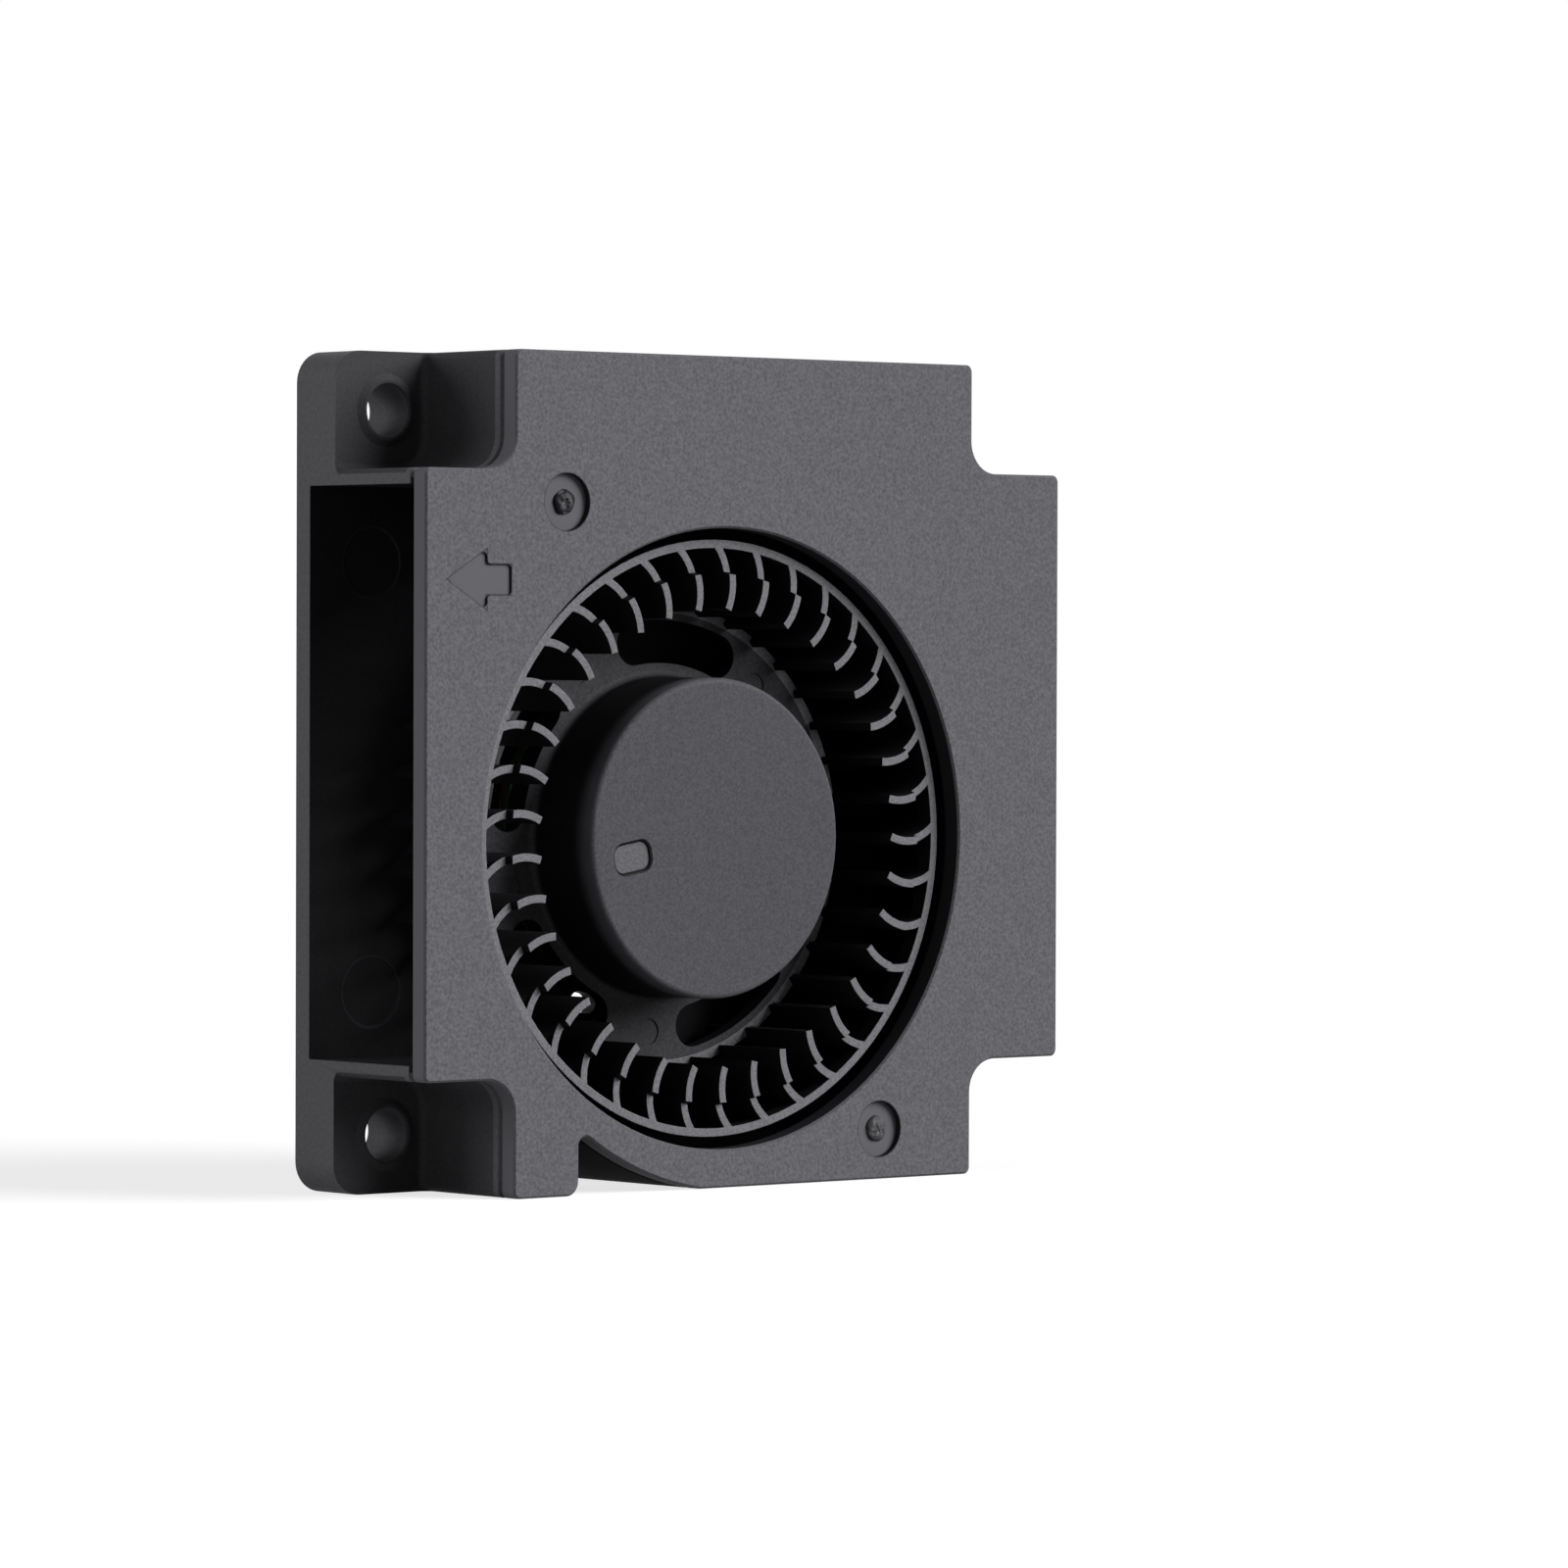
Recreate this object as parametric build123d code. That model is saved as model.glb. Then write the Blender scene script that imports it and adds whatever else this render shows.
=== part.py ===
from build123d import *
import math
import os

# A 40 mm centrifugal blower, 10 mm deep. It stands upright on its bottom edge.
# X runs along the width, Y from the inlet face to the back, Z up.
# The origin is the middle of the bottom. Lengths are millimetres, angles degrees.
# A depth is a distance behind the inlet face.

# Case
case_width = 40.0
case_height = 40.0
case_depth = 10.0
cover_thickness = 1.0
floor_thickness = 1.05
scroll_wall = 0.85
outer_wall = 0.85
corner_break = 0.35
edge_break = 0.1
seam_break = 0.22

# Corner ears and the notches in front of them
ear_thickness = 3.0
ear_corner_radius = 1.5
left_notch_width = 5.35
right_notch_width = 5.8
top_left_notch_height = 5.65
top_right_notch_height = 5.35
bottom_notch_height = 5.65
notch_radius = 1.6
ear_crease_radius = 0.35
ear_hole_inset_x = 3.05
ear_hole_inset_z = 2.8
ear_hole_diameter = 2.6
ear_collar_diameter = 3.5
ear_collar_top_diameter = 2.85
ear_collar_height = 0.18

# Scroll and outlet
rotor_from_left = 18.4
rotor_from_bottom = 16.8
inlet_diameter = 29.9
scroll_start_radius = 15.2
scroll_start_angle = 215.0
scroll_top_angle = 450.0
scroll_top_space = 4.08
scroll_end_angle = 465.0
scroll_step_angle = 22.0
outlet_wall = 0.75
outlet_lip_length = 1.2
tongue_radius = 0.35
wire_gate_left = 9.3
wire_gate_right = 18.6
wire_gate_height = 3.3
wire_gate_radius = 0.4
wire_gate_foot_radius = 0.7

# Wire window in the floor and the groove behind it
wire_window_radius = 8.34
wire_window_angle = 258.4
wire_window_length = 1.6
wire_window_width = 1.0
wire_groove_width = 1.6
wire_groove_depth = 0.5
wire_groove_end_x = 12.4

# Back recess and moulding marks
label_recess_diameter = 26.0
label_recess_depth = 0.15
floor_mark_diameter = 3.4
floor_mark_depth = 0.06
floor_mark_from_left = 3.7
floor_mark_heights = (9.5, 30.0)

# Stakes that hold the cover, their recesses, and the flow arrow
upper_stake_from_left = 8.45
upper_stake_from_top = 7.15
lower_stake_from_right = 11.8
lower_stake_from_bottom = 2.45
stake_diameter = 0.8
stake_clearance = 0.05
stake_head_diameter = 1.15
stake_head_height = 0.16
stake_head_round = 0.1
stake_recess_diameter = 2.75
stake_recess_depth = 0.3
stake_post_diameter = 3.0
arrow_tip_from_left = 1.25
arrow_from_bottom = 29.15
arrow_length = 3.85
arrow_head_length = 2.4
arrow_height = 2.9
arrow_shaft_height = 1.45
arrow_corner_radius = 0.22
arrow_depth = 0.12

# Impeller
hub_face_depth = 0.8
hub_radius = 7.75
hub_wall = 0.5
hub_edge_radius = 0.27
hub_top_thickness = 0.7
hub_skirt_clearance = 0.35
hub_mark_length = 2.3
hub_mark_width = 1.55
hub_mark_corner = 0.6
hub_mark_from_axis = 5.26
hub_mark_angle = 189.3
hub_mark_depth = 0.15
ring_outer_radius = 14.4
ring_width = 0.4
ring_height = 0.9
ring_depth = 1.0
blade_count = 37
blade_phase = 2.1
blade_thickness = 0.38
blade_root_radius = 11.05
blade_belly_radius = 12.6
blade_belly_lag = 3.3
blade_root_lag = 2.4
blade_rise = 0.4
blade_step_radius = 12.75
blade_step_slope = 0.12
blade_floor_clearance = 0.65
web_depth = 5.2
web_thickness = 0.8
web_overlap = 0.35
web_fillet = 0.4
web_window_count = 5
web_window_phase = 83.4
web_window_radius = 9.5
web_window_width = 2.1
web_window_span = 32.5
web_mark_lead = 3.0
web_mark_diameter = 1.25
web_mark_depth = 0.06

# Rotor
yoke_thickness = 0.4
magnet_thickness = 0.8
magnet_offset = 0.4
magnet_recess = 0.3
yoke_recess = 0.2
shaft_radius = 1.0
shaft_boss_radius = 2.2
shaft_boss_length = 1.5
shaft_seat_skin = 0.1
shaft_end_gap = 0.03
shaft_end_chamfer = 0.15
oil_washer_radius = 1.8
oil_washer_thickness = 0.2
retainer_radius = 1.7
retainer_thickness = 0.25
retainer_groove = 0.25
retainer_slot = 1.2
retainer_gap = 0.2
retainer_from_end = 0.72

# Bearing
bearing_clearance = 0.02
bearing_radius = 2.0
bearing_setback = 0.2
bearing_chamfer = 0.2
tube_thickness = 0.5
tube_setback = 0.4
thrust_pad_thickness = 0.25
cap_thickness = 0.4

# Stator
air_gap = 0.25
coil_front_gap = 0.95
board_gap = 0.45
core_ring_width = 0.9
pole_count = 4
pole_arm_width = 1.6
pole_shoe_width = 0.75
pole_shoe_half_angle = 36.0
insulator_thickness = 0.4
insulator_wall = 0.15
insulator_flange_width = 0.3
insulator_flange_height = 0.6
coil_build = 0.65
coil_clearance = 0.05
coil_corner = 0.5

# Circuit board and what it carries
board_thickness = 0.6
board_rise = 0.6
board_radius = 7.6
board_bore_clearance = 0.15
board_seat_width = 1.1
board_pin_clearance = 0.03
pin_radius = 0.2
pin_leg_wall = 0.15
pin_grip = 0.85
pin_stub = 0.25
chip_radius = 4.9
chip_pair_offset = 0.65
hall_size = (2.9, 1.3, 0.85)
driver_size = (2.9, 1.6, 0.8)
diode_size = (2.6, 1.4, 0.85)
capacitor_size = (1.6, 0.8, 0.8)
resistor_size = (1.6, 0.8, 0.45)
chip_lead_width = 0.35
chip_lead_length = 0.4
chip_lead_thickness = 0.15
chip_lead_pitch = 0.95

# Places that follow from the sizes above
front_y = -case_depth / 2
left_x = -case_width / 2
rotor_x = rotor_from_left + left_x
rotor_z = rotor_from_bottom
ear_depth = case_depth - ear_thickness
floor_depth = case_depth - floor_thickness
recess_depth = case_depth - label_recess_depth
scroll_top_radius = case_height - rotor_from_bottom - scroll_top_space
scroll_growth = (scroll_top_radius - scroll_start_radius) / (scroll_top_angle - scroll_start_angle)
outlet_floor_z = bottom_notch_height + outlet_wall
outlet_roof_z = case_height - top_left_notch_height - outlet_wall
stake_radius = stake_diameter / 2
stake_front_depth = stake_recess_depth - stake_head_height
stake_places = (
    (left_x + upper_stake_from_left, case_height - upper_stake_from_top),
    (-left_x - lower_stake_from_right, lower_stake_from_bottom),
)

board_back_depth = floor_depth - board_rise
board_front_depth = board_back_depth - board_thickness
hub_inner_depth = hub_face_depth + hub_top_thickness
skirt_end_depth = board_front_depth - hub_skirt_clearance
yoke_radius = hub_radius - hub_wall
yoke_inner_radius = yoke_radius - yoke_thickness
yoke_inner_depth = hub_inner_depth + yoke_thickness
yoke_end_depth = skirt_end_depth - yoke_recess
magnet_inner_radius = yoke_inner_radius - magnet_thickness
magnet_depth = yoke_inner_depth + magnet_offset
magnet_end_depth = yoke_end_depth - magnet_recess
ring_inner_radius = ring_outer_radius - ring_width
blade_top_depth = ring_depth - blade_rise
blade_end_depth = floor_depth - blade_floor_clearance
blade_tip_radius = ring_outer_radius - ring_width / 2
web_radius = blade_root_radius + web_overlap

boss_end_depth = hub_inner_depth + shaft_boss_length
washer_end_depth = boss_end_depth + oil_washer_thickness
tube_radius = bearing_radius + tube_thickness
tube_depth = boss_end_depth + tube_setback
bearing_depth = tube_depth + bearing_setback
cap_depth = recess_depth - cap_thickness
pad_depth = cap_depth - thrust_pad_thickness
shaft_top_depth = hub_inner_depth + shaft_seat_skin
shaft_end_depth = pad_depth - shaft_end_gap
retainer_end_depth = shaft_end_depth - retainer_from_end
retainer_depth = retainer_end_depth - retainer_thickness
bearing_end_depth = retainer_depth - retainer_gap
groove_radius = shaft_radius - retainer_groove

core_radius = magnet_inner_radius - air_gap
core_ring_radius = tube_radius + core_ring_width
core_depth = yoke_inner_depth + coil_front_gap + coil_build + insulator_thickness
core_end_depth = board_front_depth - board_gap - insulator_flange_height - insulator_thickness
core_middle_depth = (core_depth + core_end_depth) / 2
shoe_inner_radius = core_radius - pole_shoe_width
collar_radius = core_ring_radius + insulator_flange_width
sleeve_width = pole_arm_width + 2 * insulator_wall
insulated_height = core_end_depth - core_depth + 2 * insulator_thickness
coil_width = sleeve_width + 2 * coil_build
coil_height = insulated_height + 2 * coil_build
coil_radius = shoe_inner_radius - coil_clearance
coil_inner_radius = collar_radius + coil_clearance
insulator_front_depth = core_depth - insulator_thickness
insulator_end_depth = core_end_depth + insulator_thickness
flange_front_depth = insulator_front_depth - insulator_flange_height
flange_end_depth = insulator_end_depth + insulator_flange_height
pin_circle_radius = core_radius - pole_shoe_width / 2
pin_leg_radius = pin_radius + pin_leg_wall
pole_angles = [360 / pole_count * i for i in range(pole_count)]
pole_names = ("right", "top", "left", "bottom")

spin_axis = Axis((rotor_x, front_y, rotor_z), (0, 1, 0))
turning_plane = Plane(origin=(rotor_x, front_y, rotor_z), x_dir=(1, 0, 0), z_dir=(0, 0, 1))


# Drawing helpers
def polar(radius, angle):
    """Flat point at a radius and an angle from the origin."""
    return (radius * math.cos(math.radians(angle)), radius * math.sin(math.radians(angle)))


def at_depth(depth):
    """Plane behind the inlet face, with +X right, +Z up and its normal to the front."""
    return Plane(origin=(0, front_y + depth, 0), x_dir=(1, 0, 0), z_dir=(0, -1, 0))


def slab(outline, near, far):
    """Solid of a flat outline between two depths."""
    return extrude(at_depth(far) * outline, amount=far - near)


def on_axis(outline):
    """Flat outline moved from the origin to the rotor axis."""
    return Pos(rotor_x, rotor_z) * outline


def disc(radius, near, far):
    """Round slab on the rotor axis."""
    return slab(on_axis(Circle(radius)), near, far)


def ring(outer, inner, near, far):
    """Ring on the rotor axis."""
    return slab(on_axis(Circle(outer) - Circle(inner)), near, far)


def face_of(*points):
    """Flat face inside a closed run of straight lines."""
    return make_face(Polyline(*points, close=True))


def turned(profile):
    """Solid turned about the rotor axis from a profile of radius and depth."""
    return revolve(turning_plane * profile, axis=spin_axis)


def corner_at(outline, x, z):
    """Corner of a flat outline nearest a point."""
    return outline.vertices().sort_by_distance((x, z, 0))[0]


# Outlines of the case, as seen from the front
def scroll_radius(angle):
    """Radius of the scroll's inside at an angle, growing evenly with the turn."""
    return scroll_start_radius + scroll_growth * (angle - scroll_start_angle)


def scroll_outline(grown=0.0):
    """Inside of the scroll and its outlet duct, grown by a wall."""
    steps = math.ceil((scroll_end_angle - scroll_start_angle) / scroll_step_angle)
    turn = (scroll_end_angle - scroll_start_angle) / steps
    angles = [scroll_start_angle + turn * i for i in range(steps + 1)]
    spiral = on_axis(Spline(*[polar(scroll_radius(a) + grown, a) for a in angles]))
    start, end, middle = spiral @ 0, spiral @ 1, (rotor_x, rotor_z)
    scroll = make_face(spiral + Line(end, middle) + Line(middle, start))
    floor_z = outlet_floor_z - grown
    roof_z = outlet_roof_z + grown
    roof_x = left_x + left_notch_width + outlet_lip_length
    mouth_x = left_x - outlet_lip_length
    sweep = Spline(end, (roof_x, roof_z), tangents=[spiral % 1, (-1, 0)])
    duct = ((roof_x, roof_z), (mouth_x, roof_z), (mouth_x, floor_z), (rotor_x, floor_z))
    walls = Polyline(*duct, middle, end)
    scroll += make_face(sweep + walls)
    reach = scroll_start_radius + grown
    tongue_x = rotor_x - math.sqrt(reach**2 - (rotor_z - floor_z) ** 2)
    return fillet(corner_at(scroll, tongue_x, floor_z), tongue_radius)


def wire_gate():
    """Wedge left open between the outlet corner's foot and the scroll, where leads pass."""
    width = wire_gate_right - wire_gate_left
    box = Rectangle(width, 2 * wire_gate_height, align=(Align.MIN, Align.CENTER))
    gate = Pos(left_x + wire_gate_left, 0) * box - scroll_outline(scroll_wall)
    return fillet(gate.vertices().sort_by(Axis.Y)[-1], wire_gate_radius)


def notched_outline():
    """Square of the case with a notch in front of each ear."""
    outline = Pos(0, case_height / 2) * Rectangle(case_width, case_height)
    notches = (
        (left_x, 0, left_notch_width, bottom_notch_height),
        (left_x, case_height, left_notch_width, top_left_notch_height),
        (-left_x, 0, right_notch_width, bottom_notch_height),
        (-left_x, case_height, right_notch_width, top_right_notch_height),
    )
    insides = []
    for x, z, width, height in notches:
        outline -= Pos(x, z) * Rectangle(2 * width, 2 * height)
        insides.append((math.copysign(abs(x) - width, x), abs(z - height)))
    outsides = [
        v for v in outline.vertices() if min(math.dist((v.X, v.Y), p) for p in insides) > edge_break
    ]
    outline = fillet(outsides, corner_break)
    return fillet([corner_at(outline, x, z) for x, z in insides], notch_radius)


def gated(outline):
    """Flat outline with the wire gate cut away and its foot rounded."""
    outline -= wire_gate()
    return fillet(corner_at(outline, left_x + wire_gate_left, 0), wire_gate_foot_radius)


def case_outline():
    """Outline of the cover and of the tub in front of the ears."""
    return gated(notched_outline())


def back_outline():
    """Outline of the back, a square with rounded ears."""
    square = RectangleRounded(case_width, case_height, ear_corner_radius)
    return gated(Pos(0, case_height / 2) * square)


def at_stakes(outline):
    """Copies of a flat outline at the two stakes of the cover."""
    return [Pos(x, z) * outline for x, z in stake_places]


# Housing and cover
def ear_places():
    """Middles of the four ear holes."""
    side_x = case_width / 2 - ear_hole_inset_x
    return [(x, z) for x in (-side_x, side_x) for z in (ear_hole_inset_z, case_height - ear_hole_inset_z)]


def ear_collars():
    """Low cones in front of the ears, one around each hole."""
    foot, top = ear_collar_diameter / 2, ear_collar_top_diameter / 2
    cone = Cone(foot, top, ear_collar_height, align=(Align.CENTER, Align.CENTER, Align.MIN))
    return [at_depth(ear_depth) * Pos(x, z) * cone for x, z in ear_places()]


def ear_holes():
    """Four holes through the ears and their collars."""
    hole = Circle(ear_hole_diameter / 2)
    return [slab(Pos(x, z) * hole, ear_depth - ear_collar_height, case_depth) for x, z in ear_places()]


def wire_way():
    """Window through the floor beside the motor, and the groove behind it to the wire gate."""
    middle = polar(wire_window_radius, wire_window_angle)
    slot = SlotOverall(wire_window_length, wire_window_width, rotation=wire_window_angle + 90)
    window = on_axis(Pos(*middle) * slot)
    start = (rotor_x + middle[0], rotor_z + middle[1])
    groove = trace(Line(start, (left_x + wire_groove_end_x, 0)), line_width=wire_groove_width)
    groove_depth = case_depth - wire_groove_depth
    return [slab(window, floor_depth, case_depth), slab(groove, groove_depth, case_depth)]


def motor_seat():
    """Raised ring on the floor that holds the bearing tube and carries the circuit board."""
    return disc(tube_radius + board_seat_width, board_back_depth, floor_depth)


def tub_blank():
    """Solid block of the tub and its ears, with a rounded crease and a broken front edge."""
    spare = 4 * ear_crease_radius
    base = Pos(0, case_height / 2) * Rectangle(case_width + spare, case_height + spare)
    block = slab(notched_outline(), cover_thickness, ear_depth) + slab(base, ear_depth, case_depth)
    rim = [e for e in block.edges() if on_crease(e, ear_crease_radius)]
    block = fillet(rim, ear_crease_radius) & slab(back_outline(), cover_thickness, case_depth)
    return chamfer(block.faces().sort_by(Axis.Y)[0].outer_wire().edges(), seam_break)


def on_crease(edge, reach):
    """Whether an edge lies at the front of the ears and no further out than the case."""
    middle = edge @ 0.5
    inside_x = abs(middle.X) < case_width / 2 + reach
    inside_z = abs(middle.Z - case_height / 2) < case_height / 2 + reach
    return abs(middle.Y - front_y - ear_depth) < edge_break and inside_x and inside_z


def stakes():
    """Pins of the housing whose ends are melted over the cover in its round recesses."""
    pins = [slab(pin, stake_recess_depth, cover_thickness) for pin in at_stakes(Circle(stake_radius))]
    for outline in at_stakes(Circle(stake_head_diameter / 2)):
        head = slab(outline, stake_front_depth, stake_recess_depth)
        pins.append(fillet(head.faces().sort_by(Axis.Y)[0].edges(), stake_head_round))
    return pins


def housing():
    """Tub with the scroll, the floor, the four ears, the cover's stakes and the motor's seat."""
    posts = at_stakes(Circle(stake_post_diameter / 2))
    cavity = scroll_outline() - posts
    pockets = offset(case_outline(), -outer_wall) - scroll_outline(scroll_wall) - posts
    tub = tub_blank() + ear_collars() + stakes()
    tub -= [slab(hollow, cover_thickness, floor_depth) for hollow in (cavity, pockets)]
    tub += motor_seat()
    for z in floor_mark_heights:
        mark = Pos(left_x + floor_mark_from_left, z) * Circle(floor_mark_diameter / 2)
        tub -= slab(mark, floor_depth, floor_depth + floor_mark_depth)
    tub -= disc(label_recess_diameter / 2, recess_depth, case_depth)
    tub -= disc(tube_radius, board_back_depth, case_depth)
    return tub - ear_holes() - wire_way()


def arrow_outline():
    """Flow arrow that points at the outlet, with its tip at the origin."""
    neck, half_shaft, half_head = arrow_head_length, arrow_shaft_height / 2, arrow_height / 2
    shaft = [(neck, half_shaft), (arrow_length, half_shaft), (arrow_length, -half_shaft), (neck, -half_shaft)]
    arrow = face_of((0, 0), (neck, half_head), *shaft, (neck, -half_head))
    return fillet(arrow.vertices(), arrow_corner_radius)


def front_cover():
    """Flat lid with the round inlet, the recesses of two stakes and a sunk flow arrow."""
    plate = slab(case_outline() - on_axis(Circle(inlet_diameter / 2)), 0, cover_thickness)
    plate = chamfer(plate.faces().sort_by(Axis.Y)[0].edges(), edge_break)
    plate = chamfer(plate.faces().sort_by(Axis.Y)[-1].outer_wire().edges(), edge_break)
    plate -= [slab(recess, 0, stake_recess_depth) for recess in at_stakes(Circle(stake_recess_diameter / 2))]
    passage = Circle(stake_radius + stake_clearance)
    plate -= [slab(hole, stake_recess_depth, cover_thickness) for hole in at_stakes(passage)]
    arrow = Pos(left_x + arrow_tip_from_left, arrow_from_bottom) * arrow_outline()
    return plate - slab(arrow, 0, arrow_depth)


# Impeller and rotor
def hub_profile():
    """Half section of the hub cup with its web and the boss that grips the shaft."""
    points = [
        (0, hub_face_depth),
        (hub_radius, hub_face_depth),
        (hub_radius, web_depth),
        (web_radius, web_depth),
        (web_radius, web_depth + web_thickness),
        (hub_radius, web_depth + web_thickness),
        (hub_radius, skirt_end_depth),
        (yoke_radius, skirt_end_depth),
        (yoke_radius, hub_inner_depth),
        (shaft_boss_radius, hub_inner_depth),
        (shaft_boss_radius, boss_end_depth),
        (shaft_radius, boss_end_depth),
        (shaft_radius, shaft_top_depth),
        (0, shaft_top_depth),
    ]
    profile = face_of(*points)
    profile = fillet(corner_at(profile, hub_radius, hub_face_depth), hub_edge_radius)
    return fillet(corner_at(profile, hub_radius, web_depth), web_fillet)


def blades():
    """Ring of forward-curved blades, with the outer part of each one stepped down to the ring."""
    root = polar(blade_root_radius, blade_phase - blade_root_lag)
    belly = polar(blade_belly_radius, blade_phase - blade_belly_lag)
    tip = polar(blade_tip_radius, blade_phase)
    blade = trace(ThreePointArc(root, belly, tip), line_width=blade_thickness)
    solid = slab(on_axis(blade), blade_top_depth, blade_end_depth)
    foot = blade_step_radius + blade_step_slope
    front = blade_top_depth - blade_rise
    step = face_of(
        (blade_step_radius, front),
        (blade_step_radius, blade_top_depth),
        (foot, ring_depth),
        (ring_outer_radius + ring_width, ring_depth),
        (ring_outer_radius + ring_width, front),
    )
    solid -= turned(step)
    turns = [360 / blade_count * i for i in range(blade_count)]
    return [solid.rotate(spin_axis, -turn) for turn in turns]


def impeller():
    """Hub, windowed web, stepped blades and the hoop that ties the blade tips."""
    wheel = turned(hub_profile())
    wheel += ring(ring_outer_radius, ring_inner_radius, ring_depth, ring_depth + ring_height)
    wheel += blades()
    pitch = 360 / web_window_count
    web_end_depth = web_depth + web_thickness
    for i in range(web_window_count):
        angle = web_window_phase + pitch * i
        arc = CenterArc((0, 0), web_window_radius, angle - web_window_span / 2, web_window_span)
        wheel -= slab(on_axis(SlotArc(arc, web_window_width)), web_depth, web_end_depth)
        mark_angle = angle + pitch / 2 + web_mark_lead
        mark = Pos(*polar(web_window_radius, mark_angle)) * Circle(web_mark_diameter / 2)
        wheel -= slab(on_axis(mark), web_depth, web_depth + web_mark_depth)
    mark = RectangleRounded(hub_mark_length, hub_mark_width, hub_mark_corner, rotation=hub_mark_angle)
    mark = on_axis(Pos(*polar(hub_mark_from_axis, hub_mark_angle)) * mark)
    return wheel - slab(mark, hub_face_depth, hub_face_depth + hub_mark_depth)


def rotor_yoke():
    """Drawn steel cup inside the hub that carries the magnet."""
    return turned(
        face_of(
            (shaft_boss_radius, hub_inner_depth),
            (yoke_radius, hub_inner_depth),
            (yoke_radius, yoke_end_depth),
            (yoke_inner_radius, yoke_end_depth),
            (yoke_inner_radius, yoke_inner_depth),
            (shaft_boss_radius, yoke_inner_depth),
        )
    )


def shaft():
    """Steel shaft with a groove for its retaining ring and a chamfered end."""
    profile = face_of(
        (0, shaft_top_depth),
        (shaft_radius, shaft_top_depth),
        (shaft_radius, retainer_depth),
        (groove_radius, retainer_depth),
        (groove_radius, retainer_end_depth),
        (shaft_radius, retainer_end_depth),
        (shaft_radius, shaft_end_depth),
        (0, shaft_end_depth),
    )
    return turned(chamfer(corner_at(profile, shaft_radius, shaft_end_depth), shaft_end_chamfer))


def retaining_ring():
    """Open clip in the shaft's groove that keeps the rotor from lifting out."""
    outline = Circle(retainer_radius) - Circle(groove_radius)
    mouth = Rectangle(retainer_radius, retainer_slot, align=(Align.MIN, Align.CENTER))
    return slab(on_axis(outline - mouth), retainer_depth, retainer_end_depth)


# Bearing
def sleeve_bearing():
    """Sintered bush with chamfered bore ends."""
    bore = shaft_radius + bearing_clearance
    bush = ring(bearing_radius, bore, bearing_depth, bearing_end_depth)
    rims = bush.edges().filter_by(GeomType.CIRCLE).filter_by(lambda e: abs(e.radius - bore) < edge_break)
    return chamfer(rims, bearing_chamfer)


# Stator
def pole_outline(ring_radius, arm_width, shoe_radius, half_angle):
    """Round core with its arms and curved pole shoes."""
    outline = Circle(ring_radius)
    reach = core_radius / math.cos(math.radians(half_angle))
    sector = face_of((0, 0), polar(reach, -half_angle), polar(reach, half_angle))
    shoe = (Circle(shoe_radius) - Circle(shoe_inner_radius)) & sector
    arm_reach = (shoe_inner_radius + shoe_radius) / 2
    arm = Rectangle(arm_reach, arm_width, align=(Align.MIN, Align.CENTER)) + shoe
    outline += [Rot(0, 0, angle) * arm for angle in pole_angles]
    return outline - Circle(tube_radius)


def stator_core():
    """Stack of steel sheets with four poles, pressed on the bearing tube."""
    outline = pole_outline(core_ring_radius, pole_arm_width, core_radius, pole_shoe_half_angle)
    return slab(on_axis(outline), core_depth, core_end_depth)


def insulator(plate_depths, flange_depths, sleeve_depths):
    """Moulded half bobbin: a plate on the core, flanges beside the coils and sleeves on the arms."""
    plate = pole_outline(collar_radius, sleeve_width, core_radius - insulator_wall, pole_shoe_half_angle)
    core = pole_outline(core_ring_radius, pole_arm_width, core_radius, pole_shoe_half_angle)
    lip = Circle(shoe_inner_radius + insulator_flange_width) - Circle(shoe_inner_radius)
    flanges = Circle(collar_radius) - Circle(core_ring_radius)
    flanges += [lip & band_over_arm(coil_width, angle) for angle in pole_angles]
    cross = Sketch() + [band_over_arm(sleeve_width, angle) for angle in pole_angles]
    sleeves = ((Circle(shoe_inner_radius) - Circle(core_ring_radius)) & cross) - core
    additions = [slab(on_axis(flanges), *flange_depths), slab(on_axis(sleeves), *sleeve_depths)]
    return slab(on_axis(plate), *plate_depths) + additions


def band_over_arm(width, angle):
    """Flat band along a pole arm, from the axis outwards."""
    return Rot(0, 0, angle) * Rectangle(core_radius, width, align=(Align.MIN, Align.CENTER))


def insulator_front():
    """Half bobbin on the front of the core."""
    plate = (insulator_front_depth, core_depth)
    return insulator(plate, (flange_front_depth, insulator_front_depth), (core_depth, core_middle_depth))


def insulator_back():
    """Half bobbin on the back of the core, with a leg for each terminal pin."""
    plate = (core_end_depth, insulator_end_depth)
    flanges = (insulator_end_depth, flange_end_depth)
    part = insulator(plate, flanges, (core_middle_depth, core_end_depth))
    part += [slab(leg, core_end_depth, flange_end_depth) for leg in at_pins(Circle(pin_leg_radius))]
    return part - terminal_pins()


def at_pins(outline):
    """Copies of a flat outline at the terminal pins, one behind each pole."""
    return [on_axis(Pos(*polar(pin_circle_radius, angle)) * outline) for angle in pole_angles]


def terminal_pins():
    """Wire pins that carry the coil ends through the circuit board."""
    near, far = flange_end_depth - pin_grip, board_back_depth + pin_stub
    return Part() + [slab(pin, near, far) for pin in at_pins(Circle(pin_radius))]


def coil(angle):
    """Wound coil with rounded corners around one insulated arm."""
    middle = (rotor_x, front_y + core_middle_depth, rotor_z)
    end_plane = Plane(origin=middle, x_dir=(0, 0, 1), z_dir=(1, 0, 0))
    winding = RectangleRounded(coil_width, coil_height, coil_corner)
    winding -= Rectangle(sleeve_width, insulated_height)
    near = core_middle_depth - coil_height / 2
    room = ring(coil_radius, coil_inner_radius, near, near + coil_height)
    wound = extrude(end_plane * winding, amount=core_radius) & room
    return wound.rotate(spin_axis, -angle)


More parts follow.
